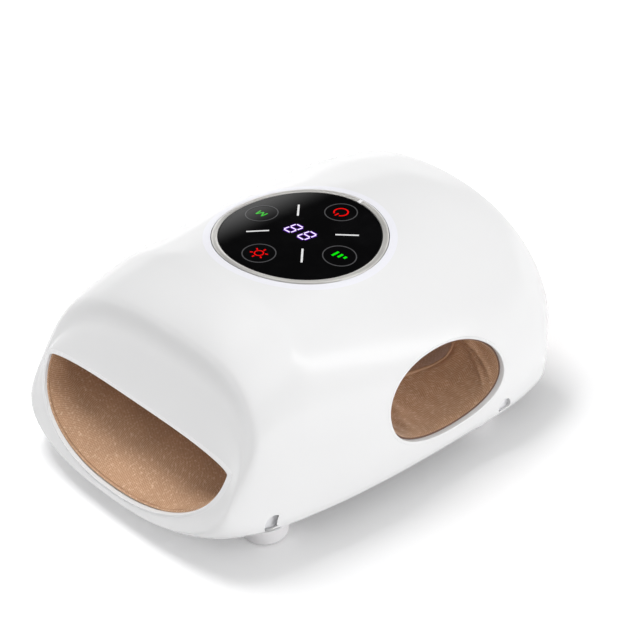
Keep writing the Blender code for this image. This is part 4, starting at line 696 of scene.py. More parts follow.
def settle(piece):
    """Apply every modifier of a piece."""
    seen = bpy.context.evaluated_depsgraph_get()
    mesh = bpy.data.meshes.new_from_object(piece.evaluated_get(seen))
    piece.modifiers.clear()
    piece.data = mesh


def oval_point(x, angle, shrink):
    """A point of the thumb hole's oval, smaller than the hole by shrink."""
    return Vector((
        x,
        THUMB_Y + (THUMB_LENGTH / 2 - shrink) * signed_power(math.cos(angle), 2 / THUMB_FULLNESS),
        THUMB_Z + (THUMB_HEIGHT / 2 - shrink) * signed_power(math.sin(angle), 2 / THUMB_FULLNESS),
    ))


def oval_bar(side, near, far, shrink, steps=96):
    """A solid oval bar along X through a thumb hole, as a cutting tool."""
    loops = [
        [oval_point(side * x, 2 * math.pi * (step + 0.5) / steps, shrink) for step in range(steps)]
        for x in (near, far)
    ]
    return skin("tool", loops, capped=True)


def block_tool(low, high):
    """A plain block between two corners, as a cutting tool."""
    loops = []
    for z in (low[2], high[2]):
        loops.append([(low[0], low[1], z), (high[0], low[1], z), (high[0], high[1], z), (low[0], high[1], z)])
    return skin("tool", loops, capped=True)


# The knit: rows of tiny stitches with a satin face, drawn from the cloth's own coordinates.
knit_weave, knit_in, knit_out = new_group(
    "Knit weave",
    [("Pitch", "NodeSocketFloat", 0.0007)],
    [("Height", "NodeSocketFloat"), ("Thread", "NodeSocketFloat"), ("Slub and sheen", "NodeSocketFloat")],
)
knit_map = knit_weave.nodes.new("ShaderNodeUVMap")
knit_map.uv_map = "cloth"
knit_split = knit_weave.nodes.new("ShaderNodeSeparateXYZ")
knit_weave.links.new(knit_map.outputs["UV"], knit_split.inputs["Vector"])
knit_turns = maths(knit_weave, "DIVIDE", 2 * math.pi, knit_in.outputs["Pitch"])
knit_left = maths(knit_weave, "ADD", knit_split.outputs["X"], knit_split.outputs["Y"])
knit_right = maths(knit_weave, "SUBTRACT", knit_split.outputs["X"], knit_split.outputs["Y"])
knit_rows = maths(knit_weave, "SINE", maths(knit_weave, "MULTIPLY", knit_left, knit_turns))
knit_courses = maths(knit_weave, "SINE", maths(knit_weave, "MULTIPLY", knit_right, knit_turns))
knit_stitch = maths(knit_weave, "MULTIPLY", maths(knit_weave, "ADD", knit_rows, knit_courses), 0.25)
knit_height = maths(knit_weave, "ADD", knit_stitch, 0.5)
knit_weave.links.new(knit_height, knit_out.inputs["Height"])
knit_weave.links.new(spread(knit_weave, knit_height, 0.1, 0.9, 0.0, 1.0), knit_out.inputs["Thread"])
# Fine slub noise in the yarn; the knit material also uses it as a painted satin sheen.
knit_slub_and_sheen = noise_of(knit_weave, knit_map.outputs["UV"], 900.0, detail=3.0, rough=0.65)
knit_weave.links.new(knit_slub_and_sheen, knit_out.inputs["Slub and sheen"])

tan_knit, knit_tree, knit_shader = new_finish(
    "tan satin knit",
    Sheen_Weight=0.35,
    Sheen_Roughness=0.35,
    Sheen_Tint=(1.0, 0.86, 0.72, 1.0),
    Specular_IOR_Level=0.45,
)
knit = place_group(knit_tree, knit_weave, Pitch=0.00095)
knit_place = knit_tree.nodes.new("ShaderNodeTexCoord").outputs["Object"]
knit_cloud = noise_of(knit_tree, knit_place, 35.0, detail=3.0, rough=0.55)
knit_colour = tinted(knit_tree, (0.42, 0.225, 0.125), knit.outputs["Thread"], (0.62, 0.395, 0.25))
# Pale beige flecks where the slub noise is high: partly slubbed yarn, partly a painted satin sheen.
knit_colour = tinted(
    knit_tree,
    knit_colour,
    spread(knit_tree, knit.outputs["Slub and sheen"], 0.5, 0.75, 0.0, 0.7),
    (0.90, 0.69, 0.50),
)
knit_tree.links.new(
    toned(knit_tree, knit_colour, spread(knit_tree, knit_cloud, 0.3, 0.7, 0.9, 1.08)),
    knit_shader.inputs["Base Color"],
)
knit_tree.links.new(
    spread(knit_tree, knit.outputs["Thread"], 0.0, 1.0, 0.72, 0.46),
    knit_shader.inputs["Roughness"],
)
knit_height_all = maths(
    knit_tree,
    "ADD",
    knit.outputs["Height"],
    maths(knit_tree, "MULTIPLY", knit.outputs["Slub and sheen"], 0.5),
)
bump_of(knit_tree, knit_shader, knit_height_all, strength=0.4, distance=0.00010)

LINING_RINGS = 110
MOUTH_RUN = 0.13
MOUTH_DROP = 0.0016
MOUTH_RISE = 0.0019
MOUTH_WIDEN = 0.0012


def lining_sizes(share, grow=0.0):
    """The tunnel's size at a share, opened a little at its mouth to reach the finger lip."""
    place, lean, half_width, roof, widest, floor_level, arch, floor = tunnel_sizes(share, grow)
    open_up = max(0.0, 1 - share / MOUTH_RUN) ** 2
    return (
        place,
        lean,
        half_width + MOUTH_WIDEN * open_up,
        roof + MOUTH_RISE * open_up,
        widest,
        floor_level - MOUTH_DROP * open_up,
        arch,
        floor,
    )


LINING_TURNS = 240
lining_angles = even_angles(tunnel_sizes(0.5), LINING_TURNS)


LINING_RIPPLE = 0.00022
LINING_RIPPLES = 23
LINING_RIPPLE_RUN = 0.09
LINING_HOLLOW = 0.0003
LINING_TUCK = 0.0007
LINING_TUCKS = ((2.62, 0.030), (2.80, 0.055))


def lining_loop(share, grow):
    """One ring of the lining, with the small drape the cloth keeps between its fixings."""
    loop = []
    for angle in lining_angles:
        point = station_point(lining_sizes(share, grow), angle)
        floor_share = max(0.0, -math.sin(angle))
        near_end = math.exp(-((share / LINING_RIPPLE_RUN) ** 2))
        near_end += math.exp(-(((1 - share) / LINING_RIPPLE_RUN) ** 2))
        wave = math.sin(LINING_RIPPLES * angle + 1.3 * math.sin(3 * angle))
        ripple = LINING_RIPPLE * near_end * wave
        hollow = LINING_HOLLOW * floor_share * math.sin(math.pi * share * 5)
        tuck = 0.0
        for middle, deep in LINING_TUCKS:
            gap = ((angle - middle) / 0.035) ** 2 + ((share - deep) / 0.025) ** 2
            tuck += LINING_TUCK * math.exp(-gap)
        outward = Vector((math.cos(angle), 0, math.sin(angle)))
        loop.append(point + outward * (ripple + hollow - tuck))
    return loop


lining_shares = [step / LINING_RINGS for step in range(LINING_RINGS + 1)]
lining_inner = [lining_loop(share, 0.0) for share in lining_shares]
lining_outer = [lining_loop(share, LINING_THICKNESS) for share in reversed(lining_shares)]
lining = skin("tunnel_lining", lining_inner + lining_outer, closed=True, measure=True)
PAD_MARGIN = 0.0005
pads = {}
windows = []
WINDOW_BELOW = 0.004
WINDOW_ABOVE = 0.006
for which in ("finger", "palm"):
    low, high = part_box(f"{which}_press_pad")
    pads[which] = (low, high)
    windows.append(block_tool(
        (low.x - PAD_MARGIN, low.y - PAD_MARGIN, low.z - WINDOW_BELOW),
        (high.x + PAD_MARGIN, high.y + PAD_MARGIN, high.z + WINDOW_ABOVE),
    ))
SLEEVE_SHRINK = PIECE_GAP + RIM_WALL
wall_start = pads["palm"][1].x + 2 * PAD_MARGIN
for side in (1, -1):
    windows.append(oval_bar(side, wall_start, BODY_HALF_WIDTH, SLEEVE_SHRINK + LINING_THICKNESS))
carve(lining, windows)
dress(lining, tan_knit)
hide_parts("fabric_liner")


# Thumb sleeves. Each is a short tube of the same knit from the tunnel wall out to the
# thumb rim, joined by one upright seam and gathered a little where it turns the corner.
def body_sizes(share, inset=0.0):
    """Place, lean, half width, crown, widest, floor and fullness of the shell."""
    place, lean, width, height, widest, lift, arch, floor = smooth_row(BODY_STATION_SHARES, share)
    return (
        (place - 0.5) * BODY_LENGTH,
        lean,
        BODY_HALF_WIDTH * width - inset,
        BODY_HEIGHT * height - inset,
        BODY_HEIGHT * widest,
        BODY_HEIGHT * lift + inset,
        arch,
        floor,
    )


BODY_LENGTH = 0.21170
BODY_HEIGHT = 0.07692
BODY_STATION_SHARES = (
    (0.0047, 0.62, 0.664, 0.481, 0.416, 0.0117, 3.40, 2.2),
    (0.0000, 0.73, 0.697, 0.690, 0.312, 0.0, 2.78, 2.5),
    (0.0642, 0.47, 0.748, 0.870, 0.195, 0.0, 3.10, 4.0),
    (0.1266, 0.50, 0.795, 0.956, 0.156, 0.0, 2.90, 5.2),
    (0.2145, 0.40, 0.843, 0.999, 0.156, 0.0, 2.54, 8.0),
    (0.3325, 0.27, 0.900, 1.006, 0.156, 0.0, 2.28, 9.0),
    (0.4743, 0.12, 0.948, 1.000, 0.156, 0.0, 2.14, 9.0),
    (0.6160, 0.00, 0.979, 0.988, 0.156, 0.0, 2.06, 9.0),
    (0.7577, 0.08, 1.000, 0.960, 0.156, 0.0, 2.01, 9.0),
    (0.8663, 0.15, 0.974, 0.938, 0.156, 0.0, 1.96, 9.0),
    (0.9372, 0.193, 0.862, 0.895, 0.156, 0.0, 2.13, 9.0),
)
SLEEVE_DEPTH = 0.0026
SLEEVE_TURNS = 216
SLEEVE_RINGS = 44
SLEEVE_FLARE = 0.0016
SLEEVE_TUCK = 0.0028
SLEEVE_GATHER = 0.0002
SLEEVE_SAG = 0.0008
# Each fold: the angle at its foot, its lean, how wide it is and how high.
SLEEVE_FOLDS = (
    (-0.62, 1.25, 0.09, 0.0022),
    (-0.88, 1.15, 0.07, 0.0013),
    (2.7, -0.5, 0.12, 0.0014),
    (-2.2, 0.6, 0.12, 0.0010),
)


def side_reach(table_at, y, level):
    """Half width of a lofted body at a place along Y and a level above its lower edge."""
    low, high = 0.0, 1.0
    for _ in range(26):
        middle = (low + high) / 2
        place, lean = table_at(middle)[:2]
        if place + lean * level < y:
            low = middle
        else:
            high = middle
    _, _, half_width, crown, widest, floor_level, arch, floor = table_at((low + high) / 2)
    if level >= widest:
        part = min((level - widest) / (crown - widest), 0.9999)
        return half_width * (1 - part**arch) ** (1 / arch)
    part = min((widest - level) / (widest - floor_level), 0.9999)
    return half_width * (1 - part**floor) ** (1 / floor)


def skin_x(y, z):
    """X of the shell's skin at a thumb hole."""
    return side_reach(body_sizes, y, z - FOOT_HEIGHT)


def wall_x(y, z):
    """X of the tunnel's wall at a thumb sleeve, below the turn of the roof."""
    level = min(z - FOOT_HEIGHT, TUNNEL_ROOF - 0.0012)
    level = max(level, TUNNEL_FLOOR + 0.0012)
    return side_reach(tunnel_sizes, y, level)


def sleeve_point(side, angle, share, shrink, start, end):
    """A point of a thumb sleeve, from the rim at share 0 to the tunnel wall at share 1."""
    flare = SLEEVE_FLARE * max(0.0, (share - 0.85) / 0.15) ** 2
    wide = oval_point(0.0, angle, shrink - flare)
    turn = (angle + math.pi) % (2 * math.pi) - math.pi
    bulge = math.sin(math.pi * min(max((share - 0.06) / 0.94, 0.0), 1.0))
    near_top = math.exp(-(((turn - 0.62) / 0.60) ** 4))
    tuck = SLEEVE_TUCK * near_top / (1 + math.exp(-(share - 0.46 - 0.10 * turn) / 0.016))
    tuck *= 1 - share**3
    folds = 0.0
    for foot, lean, wide_at, height in SLEEVE_FOLDS:
        gap = (turn - foot - lean * share) / wide_at
        folds += height * bulge * math.exp(-gap * gap) * (1 - share) ** 0.5
    gather = SLEEVE_GATHER * bulge * math.sin(31 * angle + 3 * math.sin(2 * angle))
    sag = -SLEEVE_SAG * bulge
    out = Vector((0, math.cos(angle), math.sin(angle)))
    point = wide - out * (tuck + folds + gather + sag)
    point.x = side * (start + (end - start) * share)
    return point


sleeve_angles = [2 * math.pi * step / SLEEVE_TURNS for step in range(SLEEVE_TURNS)]
sleeve_runs = []
for angle in sleeve_angles:
    spot = oval_point(0.0, angle, SLEEVE_SHRINK)
    sleeve_runs.append((skin_x(spot.y, spot.z) - SLEEVE_DEPTH, wall_x(spot.y, spot.z) - 0.0002))
sleeve_shares = [step / SLEEVE_RINGS for step in range(SLEEVE_RINGS + 1)]
for side, word in ((1, "right"), (-1, "left")):
    loops = []
    for shares, shrink in (
        (sleeve_shares, SLEEVE_SHRINK + LINING_THICKNESS),
        (sleeve_shares[::-1], SLEEVE_SHRINK + 0.0001),
    ):
        for share in shares:
            loops.append([
                sleeve_point(side, angle, share, shrink, start, end)
                for angle, (start, end) in zip(sleeve_angles, sleeve_runs)
            ])
    sleeve = skin(f"thumb_sleeve_{word}", loops, closed=True, measure=True)
    dress(sleeve, tan_knit)


# Piping and hems. A thin brown bound cord hides where the sleeve meets its rim, and a
# rolled hem of the knit finishes both ends of the tunnel lining.
def cord_ring(name, path, radius, sides=10):
    """A closed round cord along a ring of points."""
    count = len(path)
    loops = []
    for at, point in enumerate(path):
        run = (path[(at + 1) % count] - path[at - 1]).normalized()
        side_way = run.cross(Vector((0, 0.2, 1))).normalized()
        up_way = side_way.cross(run).normalized()
        loops.append([
            point + (side_way * math.cos(a) + up_way * math.sin(a)) * radius
            for a in (2 * math.pi * step / sides for step in range(sides))
        ])
    return skin(name, loops, closed=True, measure=True)


brown_binding, binding_tree, binding_shader = new_finish(
    "brown binding",
    Sheen_Weight=0.2,
    Sheen_Roughness=0.4,
)
binding_knit = place_group(binding_tree, knit_weave, Pitch=0.0006)
binding_tree.links.new(
    tinted(binding_tree, (0.09, 0.045, 0.03), binding_knit.outputs["Thread"], (0.20, 0.11, 0.075)),
    binding_shader.inputs["Base Color"],
)
binding_tree.links.new(
    spread(binding_tree, binding_knit.outputs["Slub and sheen"], 0.2, 0.8, 0.8, 0.6),
    binding_shader.inputs["Roughness"],
)
bump_of(binding_tree, binding_shader, binding_knit.outputs["Height"], strength=0.6, distance=0.0001)
PIPING_RADIUS = 0.00045
for side, word in ((1, "right"), (-1, "left")):
    path = []
    for step in range(SLEEVE_TURNS):
        spot = oval_point(0.0, 2 * math.pi * step / SLEEVE_TURNS, SLEEVE_SHRINK + 0.0003)
        spot.x = side * (skin_x(spot.y, spot.z) - SLEEVE_DEPTH)
        path.append(spot)
    dress(cord_ring(f"thumb_piping_{word}", path, PIPING_RADIUS), brown_binding)
HEM_RADIUS = 0.0006
for word, share, push in (("finger", 0.0, -HEM_RADIUS), ("wrist", 1.0, 0.0)):
    sizes = lining_sizes(share, LINING_THICKNESS / 2)
    path = [station_point(sizes, angle, push) for angle in even_angles(sizes, 200)]
    dress(cord_ring(f"{word}_hem", path, HEM_RADIUS), tan_knit)


# Press pads. Each is a foam block wrapped in the knit, on a body of its own. In use its middle
# rides down with the air bag and the cloth round it stretches to stay sewn to the lining's
# window; here that cloth is drawn at rest.
STRIP_WIDTH = 0.0085
STRIP_THICKNESS = 0.0008
PAD_TOP_IN = 0.0006
PAD_DOME = 0.0005
PAD_CORNER = 0.1
PAD_TURNS = 128
PAD_INNER_RINGS = 10


def sheet_strip(name, ends, inward, steps_along, steps_across):
    """A mitred strip of cloth between the window's edge and the pad's middle."""
    loops = []
    for row in range(steps_across + 1):
        share = row / steps_across
        start = ends[0] + (inward + ends[2]) * STRIP_WIDTH * share
        end = ends[1] + (inward - ends[2]) * STRIP_WIDTH * share
        loops.append([start + (end - start) * (step / steps_along) for step in range(steps_along + 1)])
    shape = bmesh.new()
    cloth = shape.loops.layers.uv.new("cloth")
    faces = []
    for lift in (0.0, STRIP_THICKNESS):
        faces.append([[shape.verts.new(point + Vector((0, 0, lift))) for point in loop] for loop in loops])
    for grid in faces:
        for row, following in zip(grid, grid[1:]):
            for step in range(steps_along):
                face = shape.faces.new((row[step], row[step + 1], following[step + 1], following[step]))
                for corner in face.loops:
                    corner[cloth].uv = (corner.vert.co.x, corner.vert.co.y)
    rims = []
    for grid in faces:
        out_side = [row[-1] for row in grid[1:-1]]
        back_side = [row[0] for row in grid[-2:0:-1]]
        rims.append(grid[0] + out_side + grid[-1][::-1] + back_side)
    rim_bottom, rim_top = rims
    for at in range(len(rim_bottom)):
        beyond = (at + 1) % len(rim_bottom)
        face = shape.faces.new((rim_bottom[at], rim_bottom[beyond], rim_top[beyond], rim_top[at]))
        for corner in face.loops:
            corner[cloth].uv = (corner.vert.co.x, corner.vert.co.y)
    return to_object(name, shape, 1.2)


for which, (low, high) in pads.items():
    body = f"{which}_pad"
    x0, x1 = low.x - PAD_MARGIN, high.x + PAD_MARGIN
    y0, y1 = low.y - PAD_MARGIN, high.y + PAD_MARGIN
    level = low.z
    corners = {
        "left": (Vector((x0, y0, level)), Vector((x0, y1, level)), Vector((0, 1, 0)), Vector((1, 0, 0))),
        "right": (Vector((x1, y0, level)), Vector((x1, y1, level)), Vector((0, 1, 0)), Vector((-1, 0, 0))),
        "front": (Vector((x0, y0, level)), Vector((x1, y0, level)), Vector((1, 0, 0)), Vector((0, 1, 0))),
        "rear": (Vector((x0, y1, level)), Vector((x1, y1, level)), Vector((1, 0, 0)), Vector((0, -1, 0))),
    }
    for edge, (start, end, run, inward) in corners.items():
        strip = sheet_strip(f"{which}_pad_edge_{edge}", (start, end, run), inward, 40, 10)
        strip.data.materials.clear()
        strip.data.materials.append(tan_knit)
        middle = (start + end) / 2
        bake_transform(strip)
    inner_low = Vector((x0 + STRIP_WIDTH, y0 + STRIP_WIDTH, level))
    inner_high = Vector((x1 - STRIP_WIDTH, y1 - STRIP_WIDTH, high.z))
    half = (inner_high - inner_low) / 2
    centre = (inner_high + inner_low) / 2
    loops = []
    for height, grow in ((0.0, 0.0), (0.25, 0.0), (0.75, 0.0), (1.0, -PAD_TOP_IN)):
        loop = []
        for step in range(PAD_TURNS):
            angle = 2 * math.pi * (step + 0.5) / PAD_TURNS
            loop.append(Vector((
                centre.x + (half.x + grow) * signed_power(math.cos(angle), PAD_CORNER),
                centre.y + (half.y + grow) * signed_power(math.sin(angle), PAD_CORNER),
                level + (high.z - level) * height,
            )))
        loops.append(loop)
    for ring in range(1, PAD_INNER_RINGS):
        share = 1 - ring / PAD_INNER_RINGS
        loops.append([
            Vector((centre.x + (p.x - centre.x) * share, centre.y + (p.y - centre.y) * share, high.z))
            for p in loops[3]
        ])
    under = []
    for ring in range(1, PAD_INNER_RINGS):
        share = 1 - ring / PAD_INNER_RINGS
        dome = PAD_DOME * (1 - share**2)
        under.append([
            Vector((centre.x + (p.x - centre.x) * share, centre.y + (p.y - centre.y) * share, level - dome))
            for p in loops[0]
        ])
    pad = skin(f"{which}_pad_cover", list(reversed(under)) + loops, capped=True, measure=True)
    for face in pad.data.polygons:
        for corner in face.loop_indices:
            spot = pad.data.vertices[pad.data.loops[corner].vertex_index].co
            pad.data.uv_layers["cloth"].data[corner].uv = (spot.x, spot.y)
    dress(pad, tan_knit, body)
    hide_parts(f"{which}_press_pad")


# Main board and battery. A green glass-epoxy board with its chip and buzzer stands on
# posts over the palm, and one lithium cell in blue sleeve lies in a black holder.
board_green, board_tree, board_shader = new_finish("green solder mask", Coat_Weight=0.3, Coat_Roughness=0.2)
board_place = board_tree.nodes.new("ShaderNodeTexCoord").outputs["Object"]
board_track = board_tree.nodes.new("ShaderNodeTexBrick")
board_track.inputs["Scale"].default_value = 120.0
board_track.inputs["Mortar Size"].default_value = 0.03
board_track.inputs["Color1"].default_value = (0.02, 0.16, 0.07, 1.0)
board_track.inputs["Color2"].default_value = (0.025, 0.19, 0.085, 1.0)
board_track.inputs["Mortar"].default_value = (0.05, 0.28, 0.13, 1.0)
board_tree.links.new(board_place, board_track.inputs["Vector"])
board_tree.links.new(board_track.outputs["Color"], board_shader.inputs["Base Color"])
board_touch = place_group(board_tree, handling, Clean=0.3, Rubbed=0.45)
board_tree.links.new(board_touch.outputs["Roughness"], board_shader.inputs["Roughness"])
bump_of(board_tree, board_shader, board_track.outputs["Fac"], strength=0.4, distance=0.00004)
for node in ("main_board", "touch_board", "charge_board"):
    wear_finish(node, board_green)
for node in ("control_chip", "buzzer", "battery_holder"):
    wear_finish(node, black_plastic)
cell_sleeve = moulded_plastic(
    "blue shrink sleeve",
    (0.05, 0.16, 0.42),
    clean=0.26,
    rubbed=0.42,
    grain_depth=0.00004,
    grains=900.0,
    pale=(0.12, 0.25, 0.5),
)
wear_finish("battery_cell", cell_sleeve)
red_lead = moulded_plastic(
    "red lead",
    (0.45, 0.02, 0.015),
    clean=0.4,
    rubbed=0.55,
    grain_depth=0.00003,
    grains=1500.0,
    pale=(0.55, 0.08, 0.06),
)
wear_finish("battery_lead_positive", red_lead)
wear_finish("battery_lead_negative", soft_rubber)
wear_finish(
    "ribbon_cable",
    moulded_plastic(
        "grey ribbon",
        (0.3, 0.3, 0.32),
        clean=0.45,
        rubbed=0.6,
        grain_depth=0.00005,
        grains=1200.0,
        pale=(0.4, 0.4, 0.42),
    ),
)


# Top shell. One glossy white ABS moulding that forms the crown, the sides, the nose and
# the turned-in floor. The crown swells a little to meet the panel, with a paler bluish band
# round it that is a painted highlight, and the thumb holes and screw pockets are moulded in.
SHELL_WALL = 0.0022
LIP_WALL = 0.0011
NOSE_WALL_PUSH = 0.0026
NOSE_RUN_SHARE = 0.30
SHELL_RINGS = 150
SHELL_TURNS = 240
SHELL_EDGE = 0.0006
PANEL_CENTRE = Vector((0, 0.0158, 0.08482))
PANEL_ALONG = Vector((0, 0.99898, -0.04519))
PANEL_OUT = Vector((0, 0.04519, 0.99898))
PANEL_CROWN_RADIUS = 0.278
RING_RADIUS = 0.0395
SWELL_START = 0.0425
SWELL_END = 0.0700
SWELL_DEEPEST = 0.03
POCKET_LEVEL = 0.0139
POCKET_RADIUS = 0.0036
POCKET_FLAT = 0.0108
POCKET_DEPTH = 0.0055
POCKET_OVERRUN = 0.0005
# How the mouth differs from the bottom of a pocket: moved back, raised, wider, sill higher.
POCKET_MOUTH = {"front": (-0.0016, 0.0036, 0.0007, 0.0044), "rear": (-0.0022, 0.0022, 0.0003, 0.0038)}


def nose_push(share):
    """How far the inner side is set back at the nose, where the stations lean."""
    overhang = max(0.0, body_sizes(0.0)[0] - body_sizes(share)[0])
    return overhang + NOSE_WALL_PUSH * max(0.0, 1 - share / NOSE_RUN_SHARE)


def shell_wall(share):
    """Thin at the lip and full after it."""
    return LIP_WALL + (SHELL_WALL - LIP_WALL) * min(share / 0.1, 1.0)


def panel_point(x, y, depth, crowned=True):
    """A point on the panel's crowned face, at a depth below it."""
    crown = x * x / (2 * PANEL_CROWN_RADIUS) if crowned else 0.0
    return PANEL_CENTRE + Vector((x, 0, 0)) + PANEL_ALONG * y - PANEL_OUT * (crown + depth)


def panel_ring(radius, depth, steps=180, crowned=True, shift=0.0):
    """A circle on the panel."""
    ring = []
    for step in range(steps):
        angle = 2 * math.pi * (step + shift) / steps
        ring.append(panel_point(radius * math.cos(angle), radius * math.sin(angle), depth, crowned))
    return ring


def pocket_tool(side, y, near, far, mouth, grow, flat, steps=40):
    """A screw pocket along X that opens out towards its mouth, with a flat sill that climbs."""
    loops = []
    for x, (shift, lift, wider, climb) in ((near, (0.0, 0.0, 0.0, 0.0)), (far, mouth)):
        loop = []
        for step in range(steps):
            angle = 2 * math.pi * (step + 0.5) / steps
            reach = POCKET_RADIUS + grow + wider
            height = max(POCKET_LEVEL + lift + reach * math.sin(angle), flat + climb)
            loop.append(Vector((side * x, y + shift + reach * math.cos(angle), height)))
        loops.append(loop)
    return skin("tool", loops, capped=True)


def swell(point):
    """A point of the crown, brought up to the panel's face near it and left alone far from it."""
    away = point - PANEL_CENTRE
    radius = math.hypot(away.x, away.dot(PANEL_ALONG))
    below = -away.dot(PANEL_OUT) - away.x**2 / (2 * PANEL_CROWN_RADIUS)
    if radius > SWELL_END or below > SWELL_DEEPEST:
        return point
    part = min((SWELL_END - radius) / (SWELL_END - SWELL_START), 1.0)
    return point + PANEL_OUT * below * part**3


shell_angles = even_angles(body_sizes(0.6), SHELL_TURNS)
outer_loops = []
for step in range(SHELL_RINGS + 1):
    share = step / SHELL_RINGS
    push = -SHELL_EDGE if step == SHELL_RINGS else 0.0
    outer_loops.append([swell(station_point(body_sizes(share), angle, push)) for angle in shell_angles])
for step in range(1, 5):
    turn = math.radians(22.5 * step)
    inset = SHELL_EDGE * (1 - math.cos(turn))
    push = -SHELL_EDGE * (1 - math.sin(turn))
    outer_loops.append([station_point(body_sizes(1.0, inset), angle, push) for angle in shell_angles])
inner_loops = []
for step in reversed(range(0, SHELL_RINGS + 1, 3)):
    share = step / SHELL_RINGS
    sizes, push = body_sizes(share, shell_wall(share)), nose_push(share)
    inner_loops.append([station_point(sizes, angle, push) for angle in shell_angles])
shell = skin("white_shell", outer_loops + inner_loops, closed=True, smooth_angle=0.5)

SIDE_Y = {"front": -0.0730, "rear": 0.0525}
BOSS_WALL = 0.0014
BOSS_LIFT = 0.0006
PANEL_HOLE_PLAY = 0.00036
bosses = []
hole_radius = RING_RADIUS + PANEL_HOLE_PLAY
hole_rings = [panel_ring(hole_radius, depth, 180, False, 0.5) for depth in (0.01, -0.005)]
tools = [skin("tool", hole_rings, capped=True)]
for side in (1, -1):
    tools.append(oval_bar(side, TUNNEL_HALF_WIDTH, BODY_HALF_WIDTH + 0.002, 0.0, 144))
    for spot, y in SIDE_Y.items():
        reach = side_reach(body_sizes, y, POCKET_LEVEL - FOOT_HEIGHT)
        floor_x = reach - SHELL_WALL - POCKET_DEPTH
        boss_near, boss_far = floor_x - BOSS_WALL, reach - SHELL_WALL / 2
        mouth = POCKET_MOUTH[spot]
        bosses.append(pocket_tool(side, y, boss_near, boss_far, mouth, BOSS_WALL, FOOT_HEIGHT + BOSS_LIFT))
        tools.append(pocket_tool(side, y, floor_x, reach + POCKET_OVERRUN, mouth, 0.0, POCKET_FLAT))
low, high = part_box("base_cover")
outline = []
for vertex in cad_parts["base_cover"].data.vertices:
    spot = (round(vertex.co.x, 6), round(vertex.co.y, 6))
    if vertex.co.z < low.z + 0.0001 and spot not in outline:
        outline.append(spot)
half_at = {}
for x, y in outline:
    if abs(x) > 0.03:
        half_at[y] = max(half_at.get(y, 0.0), abs(x))
edge = sorted(half_at.items())
ring = [(half + PIECE_GAP, y) for y, half in edge] + [(-half - PIECE_GAP, y) for y, half in reversed(edge)]
ring = [(x, y + PIECE_GAP * (1 if y > 0 else -1) * (y in (edge[0][0], edge[-1][0]))) for x, y in ring]
recess = [[(x, y, z) for x, y in ring] for z in (low.z - 0.002, high.z + SHELL_WALL)]
tools.append(skin("tool", recess, capped=True))
core_loops = []
for step in range(41):
    share = step / 40
    sizes = body_sizes(share, SHELL_WALL / 2)
    core_loops.append([station_point(sizes, angle) for angle in shell_angles[::3]])
bosses = gathered(bosses)
trim = bosses.modifiers.new("Trim", "BOOLEAN")
trim.operation = "INTERSECT"
trim.solver = "EXACT"
trim_tool = skin("tool", core_loops, capped=True)
trim.object = trim_tool
settle(bosses)
bpy.data.objects.remove(trim_tool, do_unlink=True)
carve(shell, [bosses], "UNION")
carve(shell, tools)
shell.data.shade_smooth()
shell.data.set_sharp_from_angle(angle=0.5)

gloss_white, gloss_tree, gloss_shader = new_finish(
    "gloss white ABS",
    Specular_IOR_Level=0.5,
    Coat_Weight=0.35,
    Coat_Roughness=0.12,
)
gloss_grain = place_group(gloss_tree, moulded_grain, Grains_per_metre=420.0, Drift=0.012)
gloss_touch = place_group(gloss_tree, handling, Clean=0.235, Rubbed=0.245, Smears_per_metre=12.0)
gloss_wear = place_group(gloss_tree, edge_wear, Amount=0.3)
# The halo: a pale bluish band painted on the white round the panel, a painted highlight for the light its
# seat catches.
HALO_RADIUS = 0.0434
HALO_BLEND = 0.0001
HALO_DEPTH = 0.010
halo_away = gloss_tree.nodes.new("ShaderNodeVectorMath")
halo_away.operation = "SUBTRACT"
halo_away.inputs[1].default_value = PANEL_CENTRE
gloss_tree.links.new(gloss_tree.nodes.new("ShaderNodeTexCoord").outputs["Object"], halo_away.inputs[0])
halo_side = gloss_tree.nodes.new("ShaderNodeVectorMath")
halo_side.operation = "CROSS_PRODUCT"
halo_side.inputs[1].default_value = PANEL_OUT
gloss_tree.links.new(halo_away.outputs["Vector"], halo_side.inputs[0])
halo_length = gloss_tree.nodes.new("ShaderNodeVectorMath")
halo_length.operation = "LENGTH"
gloss_tree.links.new(halo_side.outputs["Vector"], halo_length.inputs[0])
halo_above = gloss_tree.nodes.new("ShaderNodeVectorMath")
halo_above.operation = "DOT_PRODUCT"
halo_above.inputs[1].default_value = PANEL_OUT
gloss_tree.links.new(halo_away.outputs["Vector"], halo_above.inputs[0])
halo_ring = spread(
    gloss_tree,
    halo_length.outputs["Value"],
    HALO_RADIUS - HALO_BLEND,
    HALO_RADIUS + HALO_BLEND,
    1.0,
    0.0,
)
halo_painted_highlight_mask = maths(
    gloss_tree,
    "MULTIPLY",
    halo_ring,
    spread(gloss_tree, halo_above.outputs["Value"], -HALO_DEPTH, 0.001 - HALO_DEPTH, 0.0, 1.0),
)
gloss_tone = tinted(gloss_tree, (0.735, 0.735, 0.738), halo_painted_highlight_mask, (0.765, 0.765, 0.81))
gloss_tone = tinted(gloss_tree, gloss_tone, gloss_wear.outputs["Mask"], (0.78, 0.78, 0.785))
gloss_tree.links.new(
    toned(gloss_tree, gloss_tone, gloss_grain.outputs["Tone"]),
    gloss_shader.inputs["Base Color"],
)
gloss_tree.links.new(gloss_touch.outputs["Roughness"], gloss_shader.inputs["Roughness"])
bump_of(gloss_tree, gloss_shader, gloss_grain.outputs["Height"], strength=0.12, distance=0.00002)
dress(shell, gloss_white)
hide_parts("top_shell")


